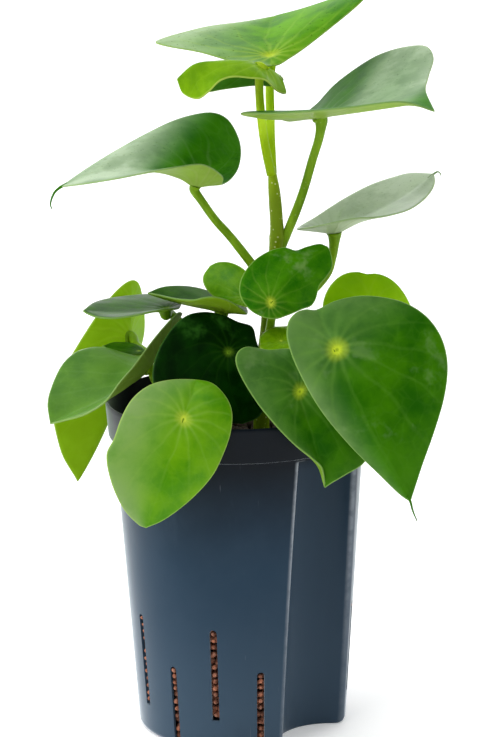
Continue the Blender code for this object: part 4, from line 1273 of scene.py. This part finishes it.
@dataclass(frozen=True)
class Stem:
    """One upright stem through (x, y, z, radius) points in millimetres."""

    node: str
    points: tuple[tuple[float, float, float, float], ...]
    joints: tuple[float, ...]
    joint_swell: float = 0.05
    joint_reach: float = 1.6 * MM
    unevenness: float = 0.02
    sides: int = 28
    steps: int = 96

    def build(self, look: bpy.types.Material) -> bpy.types.Object:
        """Makes the piece, with a low ring at the height of each joint."""
        line = smooth_route([millimetres(p[:3]) for p in self.points], self.steps)
        sizes = smooth_route([Vector((p[3], 0, 0)) for p in self.points], self.steps)
        radii = []
        for place, size in zip(line, sizes):
            ring = sum(math.exp(-((place.z - height * MM) / self.joint_reach) ** 2)
                       for height in self.joints)
            wave = noise.noise(place * 130)
            radii.append(size.x * MM * (1 + self.joint_swell * ring + self.unevenness * wave))
        bm = bmesh.new()
        loft(bm, rings_along(line, radii, self.sides))
        return finish_piece(bm, self.node + "_flesh", [look], self.node)


@dataclass
class Stems:
    """The two stems."""

    main: Stem = Stem("main_stem", (
        (12, -3, 152, 4.6), (13, -3, 180, 4.5), (14.5, -3, 205, 4.3), (18, -1.5, 240, 4.0),
        (21.5, 0, 268, 3.9), (22.8, 0, 280, 4.3), (22.7, 0, 289, 3.7), (21.8, 0, 304, 3.5),
        (20.9, 0, 314, 2.7), (20.5, 0, 321, 1.6)), (190, 206, 221, 236, 251, 281))
    left: Stem = Stem("left_stem", (
        (-14, -12, 152, 4.2), (-15, -12.5, 180, 4.2), (-16, -13, 205, 3.9),
        (-16, -13, 228, 3.6)), (188, 197, 210, 221))

    def build(self, groups: Groups) -> None:
        """Makes both stems."""
        look = StalkFinish("stem_flesh", (0.26, 0.42, 0.004), (0.38, 0.54, 0.010),
                           (0.13, 0.21, 0.003), old_share=0.85, speck_share=0.85
                           ).build(groups)
        self.main.build(look)
        self.left.build(look)


@dataclass
class Pot:
    """The slotted culture pot: one thin wall with its rim band and gauge groove."""

    height: float = 190 * MM
    rim_radius: float = 75 * MM
    rim_low_radius: float = 73.6 * MM
    rim_depth: float = 20 * MM
    wall_top_radius: float = 70.5 * MM
    base_radius: float = 59 * MM
    wall: float = 1.6 * MM
    floor: float = 2.2 * MM
    groove_bearing: float = 48.5
    groove_offset: float = 66 * MM
    groove_low_radius: float = 29 * MM
    groove_top_radius: float = 24 * MM
    groove_top: float = 168 * MM
    slot_width: float = 4.2 * MM
    slot_sides: int = 20
    high_bearings: tuple[float, ...] = (-110.5, -62.5, -14.5, 81.5, 129.5, 177.5)
    low_bearings: tuple[float, ...] = (-86.5, -38.5, 9.5, 105.5, 153.5, 201.5)
    high_span: tuple[float, float] = (18 * MM, 72 * MM)
    low_span: tuple[float, float] = (-2 * MM, 47 * MM)
    near_lip: float = 3.0 * MM
    far_lip: float = 4.0 * MM
    arc_points: int = 168
    groove_points: int = 40
    sharp_angle: float = 40

    @property
    def groove_centre(self) -> Vector:
        """The centre of the groove's circle, at the height 0."""
        bearing = math.radians(self.groove_bearing)
        return Vector((math.sin(bearing), -math.cos(bearing), 0)) * self.groove_offset

    @property
    def rows(self) -> tuple[tuple[tuple[float, ...], tuple[float, float]], ...]:
        """The bearings and the span of each row of slots."""
        return (self.high_bearings, self.high_span), (self.low_bearings, self.low_span)

    def radius_at(self, z: float) -> float:
        """The wall's outer radius below the rim."""
        share = z / (self.height - self.rim_depth)
        return self.base_radius + (self.wall_top_radius - self.base_radius) * share

    def groove_at(self, z: float) -> float:
        """The groove's radius."""
        share = z / self.groove_top
        return self.groove_low_radius + (self.groove_top_radius
                                         - self.groove_low_radius) * share

    def outline(self, z: float, radius: float, size: float,
                grooved: bool = True) -> list[Vector]:
        """The pot's outline at one height.

        Args:
            z: The height.
            radius: The outline's radius.
            size: The groove's radius.
            grooved: Whether the outline follows the groove or stays round there.

        Returns:
            The outline's points, with the same count for every height.
        """
        reach, lips = self.groove_offset, (self.near_lip, self.far_lip)
        axis, centre = Vector((0, 0, z)), self.groove_centre + Vector((0, 0, z))
        middle = math.radians(self.groove_bearing) - math.pi / 2
        half = math.acos((radius ** 2 + reach ** 2 - size ** 2) / (2 * radius * reach))
        near, far = (on_circle(axis, radius, middle + side * half) for side in (-1, 1))
        spoke = far - centre
        sweep = abs(math.remainder(math.atan2(spoke.y, spoke.x) - middle - math.pi,
                                   math.tau))
        first, last = sweep - lips[0] / size, lips[1] / size - sweep
        start, end = half + lips[1] / radius, math.tau - half - lips[0] / radius
        points = [on_circle(axis, radius, middle + start + (end - start)
                            * eased(k / (self.arc_points - 1), 0.35))
                  for k in range(self.arc_points)]
        start, end = lips[0] / radius - half, half - lips[1] / radius
        shares = [eased(k / (self.groove_points - 1), 0.3) for k in range(self.groove_points)]
        if grooved:
            inner = [on_circle(centre, size, middle + math.pi + first + (last - first) * share)
                     for share in shares]
            return (points + self.bend(points[-1], near, inner[0]) + inner
                    + self.bend(inner[-1], far, points[0]))
        inner = [on_circle(axis, radius, middle + start + (end - start) * share)
                 for share in shares]
        run, back = ([on_circle(axis, radius, middle + side * half + lip / radius * t)
                      for t in (-0.6, -0.2, 0.2, 0.6)] for side, lip in zip((-1, 1), lips))
        return points + run + inner + back

    @staticmethod
    def bend(start: Vector, corner: Vector, end: Vector) -> list[Vector]:
        """Four points of a rounded corner, between its ends."""
        return [start * (1 - t) ** 2 + corner * (2 * t * (1 - t)) + end * t * t
                for t in (0.2, 0.4, 0.6, 0.8)]

    def rings(self) -> list[list[Vector]]:
        """The rings of the whole skin, from the underside up, over the rim and down."""
        neck, up = self.height - self.rim_depth, self.height
        rim, low, wall = self.rim_radius, self.rim_low_radius, self.wall
        made = [self.outline(z, self.radius_at(z) - inset, self.groove_at(z) + inset * .3)
                for z, inset in ((0, 2.6 * MM), (0.25 * MM, 1.7 * MM), (1.1 * MM, 0.6 * MM),
                                 (2.6 * MM, 0), (3.4 * MM, 0))]
        for k in range(1, 9):
            z = 3.4 * MM + (self.groove_top - 3.4 * MM) * k / 8
            made.append(self.outline(z, self.radius_at(z), self.groove_at(z)))
        top, inner = self.groove_top, self.groove_at(self.groove_top) + wall
        for z, radius in ((top, self.radius_at(top)), (neck - 0.6 * MM, 70.6 * MM),
                          (neck - 0.1 * MM, 71.1 * MM), (neck, low - 0.9 * MM),
                          (neck + 0.25 * MM, low - 0.25 * MM), (neck + 0.9 * MM, low),
                          (up - 2.6 * MM, rim - 0.15 * MM), (up - 1.0 * MM, rim),
                          (up - 0.3 * MM, rim - 0.25 * MM), (up, rim - 0.8 * MM)):
            made.append(self.outline(z, radius, inner - wall, grooved=False))
        inside = top + wall
        for z, radius in ((up - 0.25 * MM, rim - wall + 0.15 * MM),
                          (up - 0.9 * MM, rim - wall), (neck + wall, low - wall),
                          (neck + 0.4 * MM, self.radius_at(neck) - wall + 0.6 * MM),
                          (neck, self.radius_at(neck) - wall),
                          (inside, self.radius_at(inside) - wall)):
            made.append(self.outline(z, radius, inner, grooved=False))
        for k in range(9):
            z = inside + (self.floor + 1.5 * MM - inside) * k / 8
            size = (self.groove_at(z) if k else inner - wall) + wall
            made.append(self.outline(z, self.radius_at(z) - wall, size))
        made.append(self.outline(self.floor, self.radius_at(self.floor) - wall - 1.0 * MM,
                                 self.groove_at(self.floor) + wall + 1.0 * MM))
        return made

    def bar(self, bm: bmesh.types.BMesh, bearing: float, low: float, high: float) -> None:
        """Grows a bar with a round top that cuts one slot.

        Args:
            bm: The mesh to grow it in.
            bearing: Where it stands, in degrees from the front.
            low: The height of its foot.
            high: The height of its top.
        """
        half = self.slot_width / 2
        bar = bmesh.ops.create_circle(bm, cap_ends=True, segments=self.slot_sides,
                                      radius=half)["verts"]
        for vert in bar:
            vert.co.y += high - half if vert.co.y > -half * 0.01 else 0
            if vert.co.y < high - half - half * 0.5:
                vert.co.y = low
                vert.co.x = math.copysign(half, vert.co.x)
        bmesh.ops.remove_doubles(bm, verts=bar, dist=0.01 * MM)
        bar = [vert for vert in bar if vert.is_valid]
        face = next(f for f in bar[0].link_faces)
        grown = bmesh.ops.extrude_face_region(bm, geom=[face], use_keep_orig=True)
        moved = [g for g in grown["geom"] if isinstance(g, bmesh.types.BMVert)]
        bmesh.ops.translate(bm, verts=moved, vec=(0, 0, 30 * MM))
        turn = math.radians(bearing)
        out = Vector((math.sin(turn), -math.cos(turn), 0))
        side = Vector((math.cos(turn), math.sin(turn), 0))
        stand = Matrix((side, Vector((0, 0, 1)), -out)).transposed().to_4x4()
        stand.translation = out * (80 * MM)
        bmesh.ops.transform(bm, matrix=stand, verts=bar + moved)

    def slots(self) -> bpy.types.Object:
        """The bars that cut the slots. They aren't part of the model."""
        bm = bmesh.new()
        for bearings, (low, high) in self.rows:
            for bearing in bearings:
                self.bar(bm, bearing, low, high)
        bmesh.ops.recalc_face_normals(bm, faces=bm.faces)
        return mesh_object(bm, "slot_bars")

    def build(self, groups: Groups) -> bpy.types.Object:
        """Makes the pot and cuts its slots."""
        bm = bmesh.new()
        loft(bm, self.rings())
        bmesh.ops.remove_doubles(bm, verts=bm.verts, dist=0.01 * MM)
        piece = finish_piece(bm, "culture_pot", [PlasticFinish().build(groups, self)],
                             "pot")
        bars = self.slots()
        cut = piece.modifiers.new("Slots", "BOOLEAN")
        cut.operation = "DIFFERENCE"
        cut.solver = "EXACT"
        cut.object = bars
        depsgraph = bpy.context.evaluated_depsgraph_get()
        mesh = bpy.data.meshes.new_from_object(piece.evaluated_get(depsgraph))
        piece.modifiers.clear()
        old = piece.data
        piece.data = mesh
        bpy.data.meshes.remove(old)
        mesh.name = piece.name
        bpy.data.objects.remove(bars)
        mesh.shade_smooth()
        mesh.set_sharp_from_angle(angle=math.radians(self.sharp_angle))
        return piece


@dataclass
class Filling:
    """The clay filling: a dark core with loose baked grains on and around it."""

    pot: Pot
    top: float = 167 * MM
    grain_radius: tuple[float, float] = (2.5 * MM, 4.1 * MM)
    spread: float = 3.55 * MM
    turns: int = 420
    bed: float = 1.6 * MM
    in_slot_share: float = 0.86
    seed: int = 11

    def core(self, bm: bmesh.types.BMesh) -> None:
        """Grows the core, which stays behind the outer grains."""
        pot = self.pot
        rings = []
        for z in (pot.floor + 0.5 * MM, 60 * MM, 120 * MM, self.top - 3.5 * MM):
            rings.append(pot.outline(z, pot.radius_at(z) - pot.wall - 4.6 * MM,
                                     pot.groove_at(z) + pot.wall + 3.0 * MM))
        loft(bm, rings)

    def grain(self, bm: bmesh.types.BMesh, place: Vector, size: float,
              chance: random.Random) -> None:
        """Adds one rounded, slightly lumpy grain."""
        ball = bmesh.new()
        shade = ball.verts.layers.float.new("grain_shade")
        turn = Matrix.Rotation(chance.uniform(0, math.tau), 4, "X")
        turn = Matrix.Rotation(chance.uniform(0, math.tau), 4, "Z") @ turn
        verts = bmesh.ops.create_icosphere(ball, subdivisions=2, radius=size)["verts"]
        tone = chance.uniform(0.1, 1.0)
        squash = Vector((1.0, chance.uniform(0.78, 1.0), chance.uniform(0.72, 0.95)))
        for vert in verts:
            lump = 1 + 0.14 * noise.noise(vert.co / size * 0.9 + place * 700)
            vert.co = turn @ (vert.co * squash * lump) + place
            vert[shade] = tone
        take_in(bm, ball)

    def on_top(self, chance: random.Random) -> list[tuple[Vector, float]]:
        """The centres and sizes of the grains that lie on top."""
        pot, found = self.pot, []
        limit = pot.radius_at(self.top) - pot.wall
        for index in range(1, self.turns):
            size = chance.uniform(*self.grain_radius)
            place = on_circle(Vector(), self.spread * math.sqrt(index), GOLDEN_TURN * index)
            place += Vector((chance.uniform(-1, 1), chance.uniform(-1, 1), 0)) * MM
            clear = ((place - pot.groove_centre).length
                     > pot.groove_top_radius + pot.wall + size + MM)
            if place.length + size > limit or not clear:
                continue
            lift = self.top - self.bed + self.bed * noise.noise(place * 45)
            found.append((place + Vector((0, 0, lift)), size))
        return found

    def in_slot(self, chance: random.Random, bearing: float, low: float,
                high: float) -> list[tuple[Vector, float]]:
        """The grains behind one slot and in it.

        Args:
            chance: Draws the places and sizes.
            bearing: The slot's bearing in radians.
            low: The height of its foot.
            high: The height of its top.

        Returns:
            The centre and size of each grain.
        """
        pot, found = self.pot, []
        z = max(low, pot.floor) + 3 * MM
        while z < high + 2 * MM:
            for side in (-1, 1):
                size = chance.uniform(2.0, 3.3) * MM
                turn = bearing + side * chance.uniform(1.0, 2.9) / 60
                far = pot.radius_at(z) - pot.wall - size - chance.uniform(0.1, 1.4) * MM
                found.append((Vector((far * math.sin(turn), -far * math.cos(turn),
                                      z + chance.uniform(-1.2, 1.2) * MM)), size))
            if chance.random() < self.in_slot_share:
                size = chance.uniform(1.35, 1.8) * MM
                far = pot.radius_at(z) - size - chance.uniform(0.05, 0.6) * MM
                turn = bearing + 0.9 * MM * math.sin(bearing) / far
                found.append((Vector((far * math.sin(turn), -far * math.cos(turn),
                                      min(z, high - 2.6 * MM))), size))
            z += chance.uniform(3.4, 4.6) * MM
        return found

    def build(self, groups: Groups) -> bpy.types.Object:
        """Makes the filling as one piece."""
        chance = random.Random(self.seed)
        bm = bmesh.new()
        bm.verts.layers.float.new("grain_shade")
        self.core(bm)
        grains = self.on_top(chance)
        for bearings, span in self.pot.rows:
            for bearing in bearings:
                grains += self.in_slot(chance, math.radians(bearing), *span)
        for place, size in grains:
            self.grain(bm, place, size, chance)
        return finish_piece(bm, "clay_filling", [ClayFinish().build(groups)],
                            "clay_pebbles")


@dataclass
class Studio:
    """The plain floor, the soft light and the camera."""

    distance: float = 1.8
    height: float = 0.633
    focal: float = 3289.0
    frame_height: float = 737.0
    pitch: float = 13.34
    yaw: float = 0.18
    roll: float = -0.78
    overhead_power: float = 1.7
    overhead_spread: float = 80
    overhead_way: Point = (-0.25, -0.25, 1.0)
    floor_reach: float = 14.0

    def camera(self) -> bpy.types.Object:
        """Makes the camera at the photograph's angle."""
        data = bpy.data.cameras.new("view")
        data.sensor_fit = "VERTICAL"
        data.sensor_height = SENSOR_HEIGHT
        data.lens = self.focal / self.frame_height * SENSOR_HEIGHT
        data.clip_start = 10 * MM
        made = new_object("view", data)
        pitch, yaw, roll = (math.radians(a) for a in (self.pitch, self.yaw, self.roll))
        ahead = Vector((math.sin(yaw) * math.cos(pitch), math.cos(yaw) * math.cos(pitch),
                        -math.sin(pitch)))
        right = Vector((math.cos(yaw), -math.sin(yaw), 0))
        up = right.cross(ahead)
        side = right * math.cos(roll) + up * math.sin(roll)
        top = -right * math.sin(roll) + up * math.cos(roll)
        stand = Matrix((side, top, -ahead)).transposed().to_4x4()
        stand.translation = Vector((0, -self.distance, self.height))
        made.matrix_world = stand
        bpy.context.scene.camera = made
        return made

    def floor(self) -> bpy.types.Object:
        """Makes the floor."""
        bm = bmesh.new()
        bmesh.ops.create_grid(bm, x_segments=2, y_segments=2, size=self.floor_reach)
        made = mesh_object(bm, "floor")
        made.data.materials.append(FloorFinish().build())
        return made

    def softbox(self, name: str, place: Point, target: Point, size: tuple[float, float],
                power: float) -> bpy.types.Object:
        """Makes one rectangular soft light that faces a point.

        Args:
            name: The light's name.
            place: Where it hangs.
            target: The point that it faces.
            size: Its width and height.
            power: Its power in watts.

        Returns:
            The light.
        """
        data = bpy.data.lights.new(name, "AREA")
        data.shape = "RECTANGLE"
        data.size, data.size_y = size
        data.energy = power
        made = new_object(name, data)
        made.location = place
        way = Vector(place) - Vector(target)
        made.rotation_euler = way.to_track_quat("Z", "Y").to_euler()
        return made

    def sky(self) -> None:
        """Makes the white surroundings, with a dark opening at the front."""
        world = bpy.data.worlds.new("studio")
        bpy.context.scene.world = world
        world.use_nodes = True
        web = Web(world.node_tree)
        back = world.node_tree.nodes["Background"]
        way = web.add("ShaderNodeTexCoord").outputs["Generated"]
        lean = web.vector("DOT_PRODUCT", way, (0.10, -0.85, 0.52))
        web.feed(back.inputs["Color"], web.mix(web.ramp(lean, 0.25, 0.8), (1.0, 1.0, 1.0),
                                               (0.025, 0.03, 0.035)))
        web.feed(back.inputs["Strength"],
                 web.times(web.ramp(lean, -0.75, 0.1, 2.5, 1.6),
                           web.ramp(web.parts(way)[2], 0.42, 0.85, 1.0, 0.45)))

    def overhead(self) -> bpy.types.Object:
        """Makes the wide soft light from above, which whitens the floor evenly."""
        data = bpy.data.lights.new("overhead", "SUN")
        data.energy = self.overhead_power
        data.angle = math.radians(self.overhead_spread)
        made = new_object("overhead", data)
        made.rotation_euler = Vector(self.overhead_way).to_track_quat("Z", "Y").to_euler()
        return made

    def build(self) -> None:
        """Makes the whole studio."""
        self.camera()
        self.floor()
        self.sky()
        self.overhead()
        self.softbox("side", (-1.7, 0.1, 0.9), (0, 0, 0.15), (0.9, 1.3), 7)
        self.softbox("front", (-1.0, -1.3, 1.9), (0, 0, 0.25), (0.7, 0.7), 9)
        bpy.context.scene.view_settings.view_transform = "Standard"


def main() -> None:
    """Builds the studio, the pot, its filling, the stems and the leaves, in that order."""
    logging.basicConfig(level=logging.INFO, format="%(name)s %(message)s")
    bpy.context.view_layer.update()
    Studio().build()
    groups = Groups()
    pot = Pot()
    pot.build(groups)
    Filling(pot).build(groups)
    Stems().build(groups)
    Foliage().build(groups)
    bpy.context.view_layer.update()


if __name__ == "__main__":
    main()
